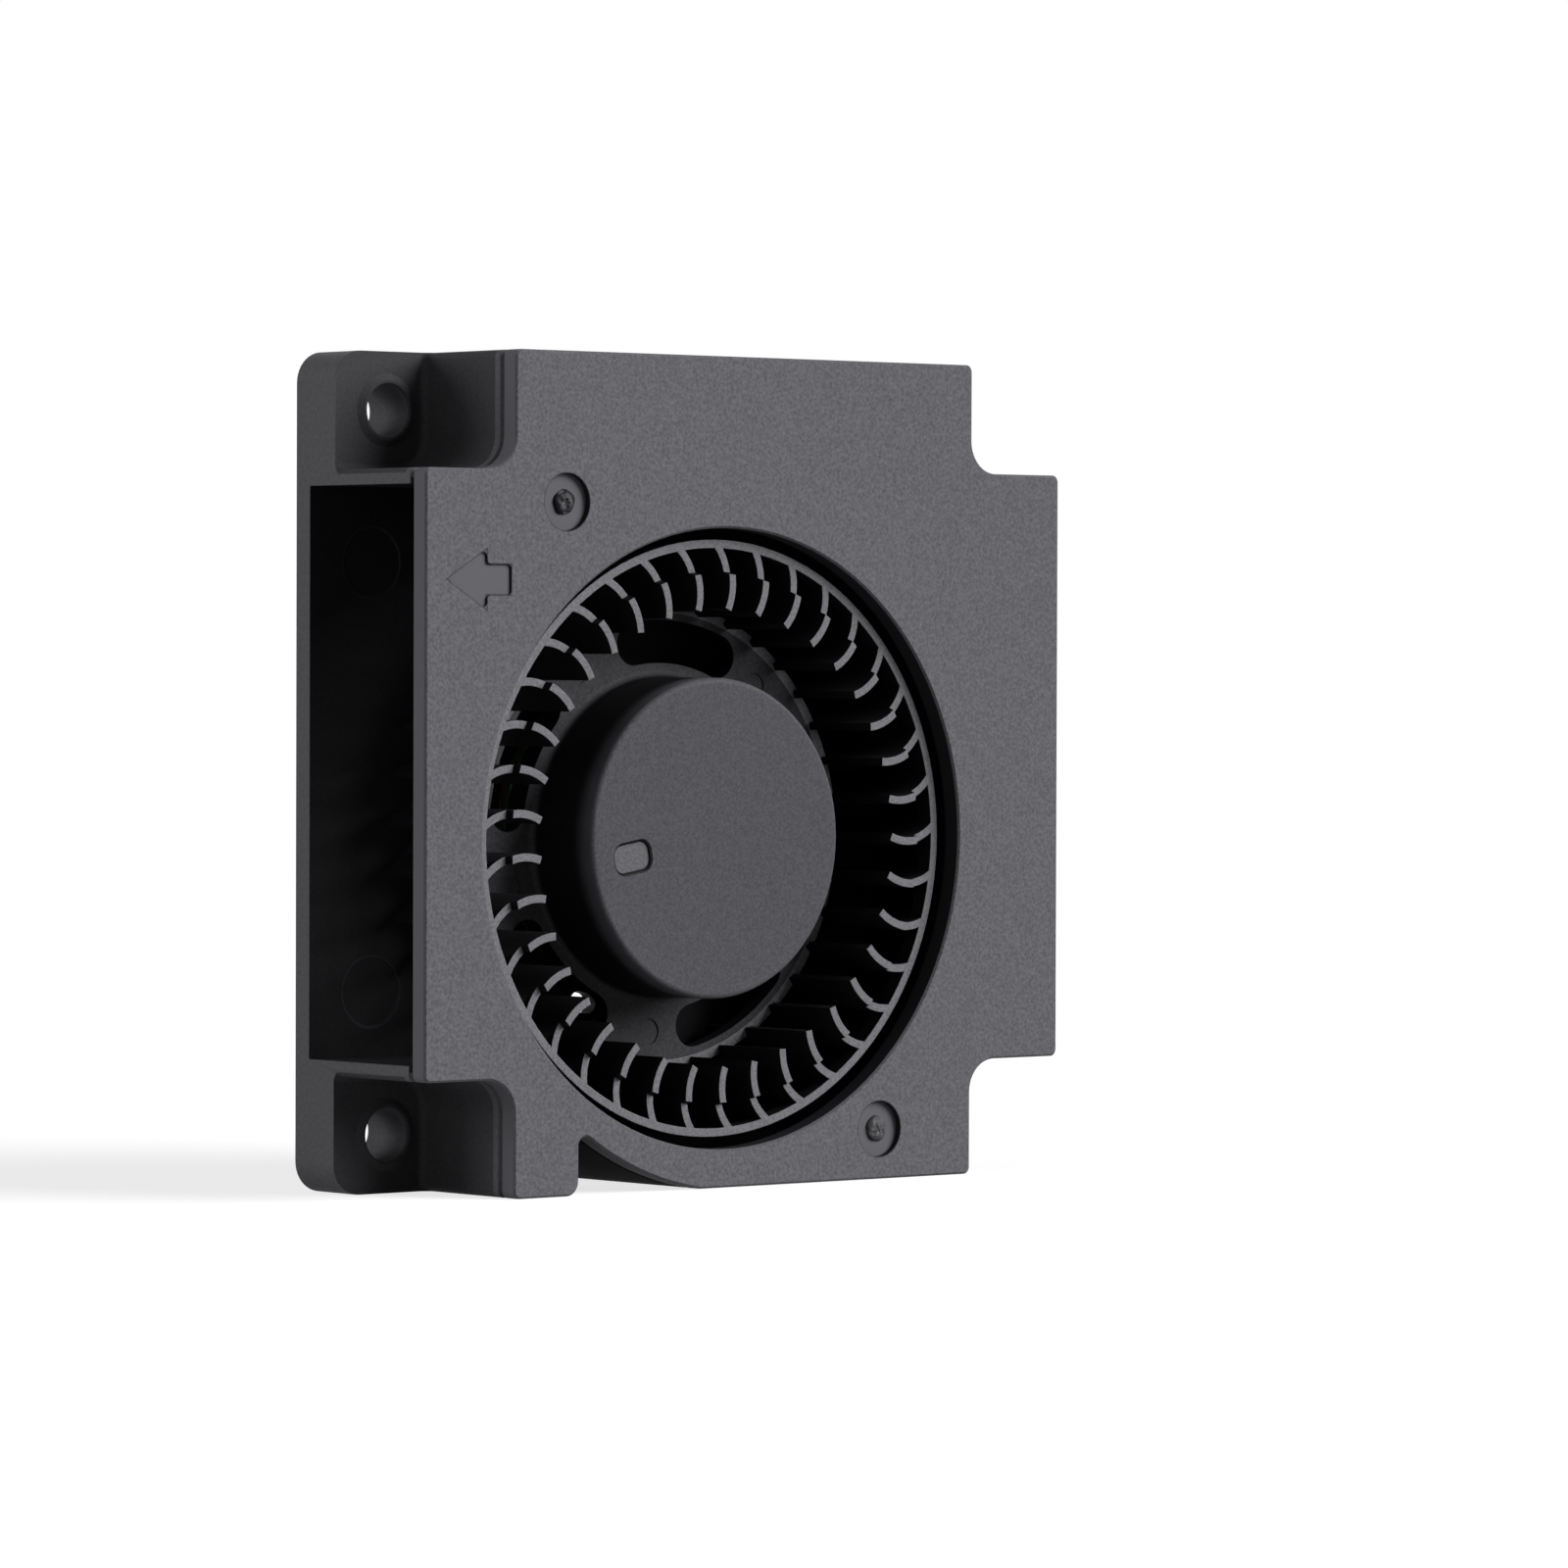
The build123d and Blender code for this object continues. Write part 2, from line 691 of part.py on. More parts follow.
# Circuit board and what it carries
def circuit_board():
    """Round board that sits on the floor's raised ring, with a hole for each terminal pin."""
    board = on_axis(Circle(board_radius) - Circle(tube_radius + board_bore_clearance))
    board -= at_pins(Circle(pin_radius + board_pin_clearance))
    return slab(board, board_front_depth, board_back_depth)


def chip(size, radius, angle, side_leads=(), end_leads=False):
    """Chip on the front of the board, its long side across the radius, with flat leads."""
    length, width, height = size
    place = Pos(*polar(radius, angle)) * Rot(0, 0, angle + 90)
    body = slab(on_axis(place * Rectangle(length, width)), board_front_depth - height, board_front_depth)
    body = chamfer(body.faces().sort_by(Axis.Y)[0].edges(), edge_break)
    lead = Rectangle(chip_lead_width, 2 * chip_lead_length)
    feet = [Pos(pitch * chip_lead_pitch, side * width / 2) * lead for pitch, side in side_leads]
    if end_leads:
        feet += [Pos(side * length / 2, 0) * Rot(0, 0, 90) * lead for side in (-1, 1)]
    foot_depth = board_front_depth - chip_lead_thickness
    body += [slab(on_axis(place * foot), foot_depth, board_front_depth) for foot in feet]
    return body


os.makedirs("parts", exist_ok=True)
three_leads = [(-1, 1), (1, 1), (0, -1)]
six_leads = [(pitch, side) for side in (-1, 1) for pitch in (-1, 0, 1)]
chip_angles = [angle + 180 / pole_count for angle in pole_angles]
pieces = {
    "housing": housing(),
    "front_cover": front_cover(),
    "impeller": impeller(),
    "rotor_yoke": rotor_yoke(),
    "ring_magnet": ring(yoke_inner_radius, magnet_inner_radius, magnet_depth, magnet_end_depth),
    "shaft": shaft(),
    "retaining_ring": retaining_ring(),
    "oil_washer": ring(oil_washer_radius, shaft_radius, boss_end_depth, washer_end_depth),
    "bearing_tube": ring(tube_radius, bearing_radius, tube_depth, recess_depth),
    "sleeve_bearing": sleeve_bearing(),
    "thrust_pad": disc(bearing_radius, pad_depth, cap_depth),
    "bearing_cap": disc(bearing_radius, cap_depth, recess_depth),
    "stator_core": stator_core(),
    "insulator_front": insulator_front(),
    "insulator_back": insulator_back(),
    "circuit_board": circuit_board(),
    "terminal_pins": terminal_pins(),
    "hall_sensor": chip(hall_size, chip_radius, chip_angles[0], three_leads),
    "driver_chip": chip(driver_size, chip_radius, chip_angles[1], six_leads),
    "chip_capacitor": chip(capacitor_size, chip_radius + chip_pair_offset, chip_angles[2]),
    "chip_resistor": chip(resistor_size, chip_radius - chip_pair_offset, chip_angles[2]),
    "reverse_diode": chip(diode_size, chip_radius, chip_angles[3], end_leads=True),
}
for name, angle in zip(pole_names, pole_angles):
    pieces[f"coil_{name}"] = coil(angle)
for name, shape in pieces.items():
    export_step(shape, f"parts/{name}.step")
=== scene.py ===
"""A 40 mm centrifugal blower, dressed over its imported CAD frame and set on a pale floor.

Where nothing else is said, lengths are in millimetres, angles in degrees and colours linear. A
depth is taken behind the inlet face, and graph is the node tree of the material being made.
"""

import logging
import math
from abc import ABC, abstractmethod
from collections.abc import Mapping, Sequence
from dataclasses import dataclass
from enum import Enum
from functools import cached_property, reduce
from typing import ClassVar

import bpy
import numpy as np
from bpy.types import ID, Material, Node, Object, World
from bpy.types import NodeSocket as Socket
from mathutils import Matrix, Vector

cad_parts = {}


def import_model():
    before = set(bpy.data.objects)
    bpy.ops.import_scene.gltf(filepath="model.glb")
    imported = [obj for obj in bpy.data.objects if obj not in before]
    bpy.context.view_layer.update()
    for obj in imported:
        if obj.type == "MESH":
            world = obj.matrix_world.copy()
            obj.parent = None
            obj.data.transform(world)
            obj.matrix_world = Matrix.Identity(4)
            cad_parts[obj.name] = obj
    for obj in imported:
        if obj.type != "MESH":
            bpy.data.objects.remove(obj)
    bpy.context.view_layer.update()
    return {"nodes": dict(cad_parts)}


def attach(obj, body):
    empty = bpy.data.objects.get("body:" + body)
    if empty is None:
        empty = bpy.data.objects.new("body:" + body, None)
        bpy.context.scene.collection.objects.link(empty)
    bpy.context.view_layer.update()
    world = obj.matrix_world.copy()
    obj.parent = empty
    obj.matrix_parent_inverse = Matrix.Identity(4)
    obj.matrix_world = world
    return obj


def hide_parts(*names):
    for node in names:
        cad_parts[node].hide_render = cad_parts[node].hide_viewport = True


log = logging.getLogger("blower")

Colour = tuple[float, float, float]
Point = tuple[float, float, float]
MM = 0.001
PHOTO_WIDTH = 1600
ROTOR_X = -1.6
ROTOR_Z = 16.8
HALF_DEPTH = 5.0
POLE_ANGLES = (0.0, 90.0, 180.0, 270.0)
POLE_NAMES = ("right", "top", "left", "bottom")
STAKE_PLACES = ((-11.55, 32.85), (8.2, 2.45))
BACK_FACING = 0.9
FRONT_START = -0.3
FRONT_FULL = -0.87
LINE_END = 0.7
LINE_FULL = 0.2


def at_depth(depth: float) -> float:
    """Turns a depth behind the inlet face into the frame's Y, both in millimetres."""
    return depth - HALF_DEPTH


class Lay(Enum):
    """Direction in which a metal's fine lines run."""

    NONE = "none"
    TURNED = "turned"
    DRAWN = "drawn"


class Graph:
    """Node tree of one material or of the surroundings, built call by call.

    Its measures are taken in the piece's own frame, so that they stay with the piece as it moves.
    """

    def __init__(self, owner: Material | World) -> None:
        """Starts an empty tree.

        Args:
            owner: The material or world that the nodes belong to.
        """
        owner.use_nodes = True
        self.nodes = owner.node_tree.nodes
        self.links = owner.node_tree.links
        self.nodes.clear()

    @cached_property
    def place(self) -> Socket:
        """Coordinates in metres."""
        return self.add("ShaderNodeTexCoord", {}).outputs["Object"]

    @cached_property
    def flat(self) -> Socket:
        """Coordinates without their Y."""
        return self.scaled((1.0, 0.0, 1.0))

    @cached_property
    def axes(self) -> list[Socket]:
        """X, Y and Z of the coordinates."""
        return self.split(self.place)

    @cached_property
    def facing(self) -> Socket:
        """How far a face looks along Y, from -1 at the front to 1 at the back."""
        return self.split(self.add("ShaderNodeTexCoord", {}).outputs["Normal"])[1]

    @cached_property
    def to_front(self) -> Socket:
        """Smooth step that is 1 where a face looks within about 30 degrees of the front."""
        return self.ramp(self.facing, FRONT_START, FRONT_FULL)

    def add(self, kind: str, inputs: Mapping[str | int, object], **settings: object) -> Node:
        """Adds a node and fills its sockets.

        Args:
            kind: Blender's name of the node type.
            inputs: Socket name or index, with a constant or with the output that feeds it.
            settings: Properties of the node itself.

        Returns:
            The new node.
        """
        node = self.nodes.new(kind)
        for name, value in settings.items():
            setattr(node, name, value)
        for socket, value in inputs.items():
            if isinstance(value, Socket):
                self.links.new(value, node.inputs[socket])
            else:
                node.inputs[socket].default_value = value
        return node

    def math(self, operation: str, *values: object) -> Socket:
        """Works out a number by Blender's operation from constants or outputs."""
        return self.add("ShaderNodeMath", dict(enumerate(values)), operation=operation).outputs[0]

    def fold(self, operation: str, *values: object) -> Socket:
        """Joins any number of values by one operation on two, from the left."""
        return reduce(lambda first, second: self.math(operation, first, second), values)

    def minus(self, first: object, second: object) -> Socket:
        """The first value less the second."""
        return self.math("SUBTRACT", first, second)

    def ramp(self, value: Socket, low: float, high: float) -> Socket:
        """Smooth step 3t^2 - 2t^3, with t = (value - low) / (high - low) held in 0 to 1."""
        inputs = {"Value": value, "From Min": low, "From Max": high}
        return self.add("ShaderNodeMapRange", inputs, interpolation_type="SMOOTHSTEP").outputs[0]

    def blend(self, share: object, first: object, second: object) -> Socket:
        """Mixes two colours or outputs, the first at share 0 and the second at share 1."""
        colours = {at: (*c, 1.0) if isinstance(c, tuple) else c for at, c in ((6, first), (7, second))}
        return self.add("ShaderNodeMix", {0: share, **colours}, data_type="RGBA").outputs[2]

    def noise(self, size: float, detail: float, place: Socket | None = None) -> Socket:
        """Noise of about 0 to 1, with grains of a size in millimetres and octaves of finer noise."""
        inputs = {"Vector": place or self.place, "Scale": 1 / (size * MM), "Detail": detail}
        return self.add("ShaderNodeTexNoise", inputs).outputs[0]

    def split(self, vector: Socket) -> list[Socket]:
        """Takes a vector apart into X, Y and Z."""
        return list(self.add("ShaderNodeSeparateXYZ", {"Vector": vector}).outputs)

    def scaled(self, scale: Point) -> Socket:
        """Stretches the coordinates by factors along X, Y and Z."""
        return self.add("ShaderNodeMapping", {"Vector": self.place, "Scale": scale}).outputs[0]

    def shallow(self, depth: float) -> Socket:
        """Smooth step that falls from 1 at half of a depth in millimetres to 0 at all of it."""
        return self.ramp(self.axes[1], at_depth(depth) * MM, at_depth(depth / 2) * MM)

    def line(self, distance: Socket, width: float) -> Socket:
        """Smooth line where a distance in metres is near 0, with its width in millimetres."""
        away = self.math("ABSOLUTE", distance)
        return self.ramp(away, LINE_END * width * MM, LINE_FULL * width * MM)

    def from_axis(self, x: float = ROTOR_X, z: float = ROTOR_Z) -> Socket:
        """Distance sqrt(u^2 + w^2) in metres from an axis along Y, placed in millimetres."""
        inputs = {0: self.flat, 1: Vector((x, 0.0, z)) * MM}
        return self.add("ShaderNodeVectorMath", inputs, operation="DISTANCE").outputs["Value"]

    def offsets(self, angle: float, radius: float) -> list[Socket]:
        """Distances |u| along the radius and |v| across it from a point in the rotor's plane.

        Args:
            angle: Angle of the point about the rotor's axis.
            radius: Distance of the point from that axis.

        Returns:
            Sockets of the two distances, in metres.
        """
        turn = math.radians(angle)
        along = Vector((math.cos(turn), 0.0, math.sin(turn)))
        across = Vector((-math.sin(turn), 0.0, math.cos(turn)))
        middle = (Vector((ROTOR_X, 0.0, ROTOR_Z)) + along * radius) * MM
        found = []
        for direction in (along, across):
            dot = self.add("ShaderNodeVectorMath", {0: self.place, 1: direction}, operation="DOT_PRODUCT")
            found.append(self.math("ABSOLUTE", self.minus(dot.outputs["Value"], middle.dot(direction))))
        return found

    def relief(self, height: object, depth: float, edge: float) -> Socket:
        """Normal of a finely uneven surface whose edges look rounded.

        Args:
            height: Relief, 0 to 1.
            depth: Depth of the relief.
            edge: Radius of the rounding.

        Returns:
            The normal's socket.
        """
        rounded = self.add("ShaderNodeBevel", {"Radius": edge * MM}, samples=4).outputs[0]
        inputs = {"Height": height, "Distance": depth * MM, "Strength": 1.0, "Normal": rounded}
        return self.add("ShaderNodeBump", inputs).outputs[0]

    def surface(self, **inputs: object) -> Socket:
        """Principled surface from sockets whose names' words are joined by underscores."""
        named = {name.replace("_", " "): value for name, value in inputs.items()}
        return self.add("ShaderNodeBsdfPrincipled", named).outputs[0]


@dataclass(frozen=True)
class Finish(ABC):
    """A look of a surface, which makes one material.

    Attributes:
        slot: The record's material slot.
        colour: Base colour.
        roughness: Roughness of the surface.
        edge: Radius by which edges look rounded.
        unevenness: Range over which the roughness drifts.
    """

    slot: str
    colour: Colour
    roughness: float = 0.5
    edge: float = 0.03
    unevenness: float = 0.1

    @abstractmethod
    def shade(self, graph: Graph) -> Socket:
        """Builds the surface's nodes.

        Args:
            graph: The material's node tree.

        Returns:
            The shader's socket.
        """

    def darker(self, share: float) -> Colour:
        """The base colour times a share."""
        return tuple(c * share for c in self.colour)

    def drifting(self, graph: Graph, noise: Socket) -> Socket:
        """Roughness that a noise moves by half of the unevenness up or down."""
        return graph.math("MULTIPLY_ADD", noise, self.unevenness, self.roughness - self.unevenness / 2)

    def put_on(self, piece: Object) -> None:
        """Makes this finish's material and dresses a piece in it.

        Args:
            piece: The object to dress.
        """
        material = bpy.data.materials.new(f"{piece.name}_finish")
        graph = Graph(material)
        graph.add("ShaderNodeOutputMaterial", {"Surface": self.shade(graph)})
        piece.data.materials.clear()
        piece.data.materials.append(material)


@dataclass(frozen=True)
class MouldedPlastic(Finish):
    """Moulded plastic with a spark-eroded grain, and a dark colour that some kinds of it paint as shade.

    Attributes:
        painted_shade: Dark colour of the painted shade that some kinds put in hollows, on walls and on hidden
            faces.
        grain_size: Size of a grain.
        grain_depth: Depth of the grain.
        mottling: Share by which the grain changes the colour.
        patch: Size of a patch of uneven gloss, in grains.
        gloss: Specular level.
        clear: Share of light that scatters inside, as in unfilled nylon.
        scatter: How far that light gets.
    """

    # painted shade: the dark colour that stands in for shade where the kinds below paint it
    painted_shade: Colour = (0.016, 0.016, 0.018)
    grain_size: float = 0.2
    grain_depth: float = 0.008
    mottling: float = 0.1
    patch: float = 20.0
    gloss: float = 0.1
    clear: float = 0.0
    scatter: float = 0.3

    def tone(self, graph: Graph) -> object:
        """Colour of a place before the grain changes it, or its socket."""
        return self.colour

    def grained(self, graph: Graph) -> object:
        """How strong the grain is at a place, from 0 to 1, or its socket."""
        return 1.0

    def matted(self, graph: Graph) -> object:
        """What is added to the roughness at a place, or its socket."""
        return 0.0

    def shade(self, graph: Graph) -> Socket:
        """Builds colour, gloss and grain. See the base class."""
        noise = graph.noise(self.grain_size, 3.0)
        grain = graph.math("MULTIPLY", graph.minus(noise, 0.5), self.grained(graph))
        lightness = graph.math("MULTIPLY_ADD", grain, 4 * self.mottling, 1.0)
        tinted = {0: self.tone(graph), "Scale": lightness}
        cloud = graph.noise(self.patch * self.grain_size, 1.0)
        return graph.surface(
            Base_Color=graph.add("ShaderNodeVectorMath", tinted, operation="SCALE").outputs[0],
            Roughness=graph.math("ADD", self.drifting(graph, cloud), self.matted(graph)),
            Specular_IOR_Level=self.gloss,
            Subsurface_Weight=self.clear,
            Subsurface_Scale=self.scatter * MM,
            Normal=graph.relief(grain, self.grain_depth, self.edge),
        )


@dataclass(frozen=True)
class Zone:
    """Box of the case, in millimetres.

    Attributes:
        low: Lowest X, depth behind the inlet face and Z.
        high: Highest X, depth and Z.
    """

    low: Point
    high: Point

    def holds(self, graph: Graph) -> Socket:
        """Product over the axes of |v - c| <= h, with c the middle and h half of the side.

        Args:
            graph: The material's node tree.

        Returns:
            Socket that is 1 in the box and 0 outside.
        """
        inside = []
        for value, low, high, shift in zip(graph.axes, self.low, self.high, (0.0, HALF_DEPTH, 0.0)):
            middle, half = ((low + high) / 2 - shift) * MM, (high - low) / 2 * MM
            inside.append(graph.math("COMPARE", value, middle, half))
        return graph.fold("MULTIPLY", *inside)


@dataclass(frozen=True)
class TubPlastic(MouldedPlastic):
    """Plastic of the housing, with painted shade inside, in the wire gate and in the notches of the ears.

    Attributes:
        hollows: Boxes of the scroll, the duct and the wire window, whose walls get the painted shade.
        gate: Box of the wire gate, which gets the painted shade too, and is matt.
        gate_facing: How far a face may look to the back before the gate's painted shade fades.
        notch_shade: Colour of the painted shade in the notches.
        notches: Box whose front faces and inner walls get that painted shade.
        floor_marks: Middles of the round marks in the duct's floor as X and Z.
        floor_mark_radius: Radius of these marks.
        floor_mark_line: Width of their rims' line.
        floor_mark_tone: Colour of that line.
    """

    hollows: tuple[Zone, ...] = (
        Zone((-19.97, 0.9, 6.1), (19.7, 9.3, 33.9)),
        Zone((-14.4, 0.9, 0.3), (13.9, 9.3, 39.7)),
        Zone((-4.4, 9.0, 7.8), (-2.2, 9.95, 9.4)),
    )
    gate: Zone = Zone((-11.6, 1.1, 0.05), (2.0, 9.9, 4.2))
    gate_facing: float = 0.5
    # painted shade of the notches, where the case shades the ear fronts and walls
    notch_shade: Colour = (0.052, 0.051, 0.056)
    notches: Zone = Zone((-19.98, 1.6, 0.02), (19.98, 7.02, 39.98))
    floor_marks: tuple[tuple[float, float], ...] = ((-16.3, 9.5), (-16.3, 30.0))
    floor_mark_radius: float = 1.7
    floor_mark_line: float = 0.14
    floor_mark_tone: Colour = (0.034, 0.033, 0.038)

    def gated(self, graph: Graph) -> Socket:
        """Factor that is 1 in the gate, but for faces to the back such as the wire groove's floor."""
        fading = graph.ramp(graph.facing, BACK_FACING, self.gate_facing)
        return graph.math("MULTIPLY", self.gate.holds(graph), fading)

    def matted(self, graph: Graph) -> Socket:
        """Wholly matt in the gate. See the base class."""
        return graph.math("MULTIPLY", self.gated(graph), 1 - self.roughness)

    def tone(self, graph: Graph) -> Socket:
        """Painted shade in the hollows and the gate but for lighter lines on the marks' rims, and in the
        notches.
        """
        marks = graph.fold("MINIMUM", *(graph.from_axis(*middle) for middle in self.floor_marks))
        rims = graph.line(graph.minus(marks, self.floor_mark_radius * MM), self.floor_mark_line)
        # painted shade: the hollows and the gate near black, the floor marks' rims a little lighter
        painted_shade = graph.blend(rims, self.painted_shade, self.floor_mark_tone)
        hollow = graph.fold("MAXIMUM", self.gated(graph), *(zone.holds(graph) for zone in self.hollows))
        # painted shade on the notches' ear fronts and inner walls
        outside = graph.blend(self.notches.holds(graph), self.colour, self.notch_shade)
        return graph.blend(hollow, outside, painted_shade)


@dataclass(frozen=True)
class Arrow:
    """Outline of the flow arrow, which points at the outlet.

    Attributes:
        x: X of the tip.
        z: Z of the tip.
        head: Length of the head.
        length: Whole length.
        half_head: Half of the head's height.
        half_shaft: Half of the shaft's height.
        overlap: Length of the shaft inside the head.
    """

    x: float = -18.75
    z: float = 29.15
    head: float = 2.4
    length: float = 3.85
    half_head: float = 1.45
    half_shaft: float = 0.725
    overlap: float = 1.0

    def distance(self, graph: Graph) -> Socket:
        """Least of the head's max(u - head, |w| cos b - u sin b) and the shaft's box distance.

        u runs from the tip along the arrow, w across it, and b is half the tip's angle.

        Args:
            graph: The material's node tree.

        Returns:
            The signed distance's socket in metres, below 0 inside.
        """
        u = graph.minus(graph.axes[0], self.x * MM)
        w = graph.math("ABSOLUTE", graph.minus(graph.axes[2], self.z * MM))
        half_angle = math.atan2(self.half_head, self.head)
        slope = graph.math("MULTIPLY", u, math.sin(half_angle))
        side = graph.minus(graph.math("MULTIPLY", w, math.cos(half_angle)), slope)
        head = graph.math("MAXIMUM", graph.minus(u, self.head * MM), side)
        start = self.head - self.overlap
        middle = (start + self.length) / 2
        end = graph.minus(graph.math("ABSOLUTE", graph.minus(u, middle * MM)), (middle - start) * MM)
        shaft = graph.math("MAXIMUM", graph.minus(w, self.half_shaft * MM), end)
        return graph.math("MINIMUM", head, shaft)


@dataclass(frozen=True)
class LidPlastic(MouldedPlastic):
    """Plastic of the cover: coarse grain on the front, painted shade on the back, recess walls and inlet
    wall.

    Attributes:
        smooth_depth: Depth behind the inlet face at which the front's grain has ended.
        inlet: Radius about the rotor's axis inside which the wall gets painted shade.
        recess_radius: Radius of the stakes' recesses.
        line_width: Width of the painted shade line round the recesses and the arrow.
        line_share: Share by which that painted shade line is darker.
        arrow: The arrow's outline.
        gate: Box of the wire gate, in which the cover's edge gets painted shade.
    """

    smooth_depth: float = 0.1
    inlet: float = 15.2
    recess_radius: float = 1.375
    line_width: float = 0.09
    line_share: float = 0.6
    arrow: Arrow = Arrow()
    gate: Zone = Zone((-11.6, 0.02, 0.05), (2.0, 1.2, 4.2))

    def grained(self, graph: Graph) -> Socket:
        """Falls to 0 from half of the smooth depth to all of it. See the base class."""
        return graph.shallow(self.smooth_depth)

    def tone(self, graph: Graph) -> Socket:
        """Painted shade on the walls of inlet, recesses, arrow and gate and on the back. See the base class.
        """
        stakes = graph.fold("MINIMUM", *(graph.from_axis(*middle) for middle in STAKE_PLACES))
        recess = graph.minus(stakes, self.recess_radius * MM)
        arrow = self.arrow.distance(graph)
        inlet = graph.minus(graph.from_axis(), self.inlet * MM)
        # painted shade on the walls of inlet, recesses, arrow and gate
        close = graph.math("LESS_THAN", graph.fold("MINIMUM", recess, arrow, inlet), self.line_width * MM)
        near = graph.math("MAXIMUM", close, self.gate.holds(graph))
        walls = graph.math("MULTIPLY", near, graph.minus(1.0, graph.to_front))
        # painted shade lines round the recesses and the arrow
        lines = graph.math("MAXIMUM", *(graph.line(outline, self.line_width) for outline in (recess, arrow)))
        # painted shade on the back, which faces into the case
        back = graph.math("GREATER_THAN", graph.facing, BACK_FACING)
        dark = graph.fold("MAXIMUM", walls, graph.math("MULTIPLY", lines, self.line_share), back)
        return graph.blend(dark, self.colour, self.painted_shade)


@dataclass(frozen=True)
class HubMark:
    """Outline of the hub's sunk mark, a rectangle with round corners.

    Attributes:
        radius: Distance of its middle from the axis.
        angle: Angle of its middle and of its long side about the axis.
        length: Length along the radius.
        width: Width across it.
        corner: Radius of the corners.
    """

    radius: float = 5.26
    angle: float = 189.3
    length: float = 2.3
    width: float = 1.55
    corner: float = 0.6

    def distance(self, graph: Graph) -> Socket:
        """Length of max(|p| - (half side - corner), 0) less the corner, p from the mark's middle.

        Args:
            graph: The material's node tree.

        Returns:
            The distance's socket in metres, below 0 inside.
        """
        squares = []
        for off, size in zip(graph.offsets(self.angle, self.radius), (self.length, self.width)):
            over = graph.math("MAXIMUM", graph.minus(off, (size / 2 - self.corner) * MM), 0.0)
            squares.append(graph.math("MULTIPLY", over, over))
        return graph.minus(graph.math("SQRT", graph.math("ADD", *squares)), self.corner * MM)


@dataclass(frozen=True)
class FanPlastic(MouldedPlastic):
    """Plastic of the impeller: grained where it looks to the front, palest on the blades by a painted
    highlight, with painted shade on the web, hub edge, hub side and flanks.

    Attributes:
        rim: Colour of the painted highlight on the blades' and the hoop's front edges.
        rim_radius: Distance from the axis at which those start.
        web: Colour of the painted shade on the web's front.
        web_start: Depth from which front faces belong to the web.
        side: Colour of the painted light on the hub's side just behind its face.
        side_end: Depth at which that painted light on the side has given way to painted shade.
        hub_start: Distance from the axis at which painted shade starts to darken the hub's face.
        hub_end: Distance at which that painted shade is darkest.
        hub_share: Share of the side's colour there.
        mark: The sunk mark's outline.
        mark_line: Width of the painted shade line inside the mark's outline.
        mark_spill: Share of that width by which the line lies outside too.
        mark_floor: Colour of the mark's floor.
    """

    rim: Colour = (0.172, 0.171, 0.184)
    rim_radius: float = 10.9
    web: Colour = (0.052, 0.051, 0.056)
    web_start: float = 4.0
    side: Colour = (0.085, 0.083, 0.092)
    side_end: float = 2.3
    hub_start: float = 7.2
    hub_end: float = 7.75
    hub_share: float = 0.7
    mark: HubMark = HubMark()
    mark_line: float = 0.12
    mark_spill: float = 0.3
    mark_floor: Colour = (0.128, 0.127, 0.138)

    def grained(self, graph: Graph) -> Socket:
        """Grain on the faces that look to the front. See the base class."""
        return graph.to_front

    def tone(self, graph: Graph) -> Socket:
        """Picks by distance from the axis, depth and direction of the face. See the base class."""
        away = graph.from_axis()
        # painted shade darkening the hub's face toward its edge
        fading = graph.ramp(away, self.hub_start * MM, self.hub_end * MM)
        hub = graph.blend(graph.math("MULTIPLY", fading, self.hub_share), self.colour, self.side)
        mark, width = self.mark.distance(graph), self.mark_line * MM
        # painted shade line along the mark's outline
        hub = graph.blend(graph.math("LESS_THAN", mark, self.mark_spill * width), hub, self.painted_shade)
        hub = graph.blend(graph.math("LESS_THAN", mark, -width), hub, self.mark_floor)
        # painted shade on the web's front
        deep = graph.math("GREATER_THAN", graph.axes[1], at_depth(self.web_start) * MM)
        # painted highlight on the front edges of blades and hoop beyond rim_radius
        far = graph.math("GREATER_THAN", away, self.rim_radius * MM)
        front = graph.blend(far, graph.blend(deep, hub, self.web), self.rim)
        # painted light band on the hub's side near its face; painted shade on all other faces that don't look
        # to the front
        band = graph.math("MULTIPLY", graph.shallow(self.side_end), graph.minus(1.0, far))
        return graph.blend(graph.to_front, graph.blend(band, self.painted_shade, self.side), front)


@dataclass(frozen=True)
class MeltedPlastic(MouldedPlastic):
    """Melted end of a stake, with painted shade round its rim and dark blotches.

    Attributes:
        middle: X and Z of the stake's middle.
        rim_radius: Distance from the middle at which the painted shade ring is darkest.
        rim_start: Share of that distance at which it begins.
        blotch: Size of a blotch.
        blotch_noise: Noise from which a blotch starts, and at which it is darkest.
        dark_share: Share of the darkening by the painted shade ring and the blotches.
    """

    middle: tuple[float, float] = (0.0, 0.0)
    rim_radius: float = 0.5
    rim_start: float = 0.6
    blotch: float = 0.22
    blotch_noise: tuple[float, float] = (0.4, 0.62)
    dark_share: float = 1.0

    def tone(self, graph: Graph) -> Socket:
        """Painted shade from the rim's start outwards, and dark where the noise is high. See the base class.
        """
        radius = self.rim_radius * MM
        # painted shade: dark ring round the head's rim
        rim = graph.ramp(graph.from_axis(*self.middle), self.rim_start * radius, radius)
        blotches = graph.ramp(graph.noise(self.blotch, 1.0), *self.blotch_noise)
        dark = graph.math("MULTIPLY", graph.math("MAXIMUM", rim, blotches), self.dark_share)
        return graph.blend(dark, self.colour, self.painted_shade)


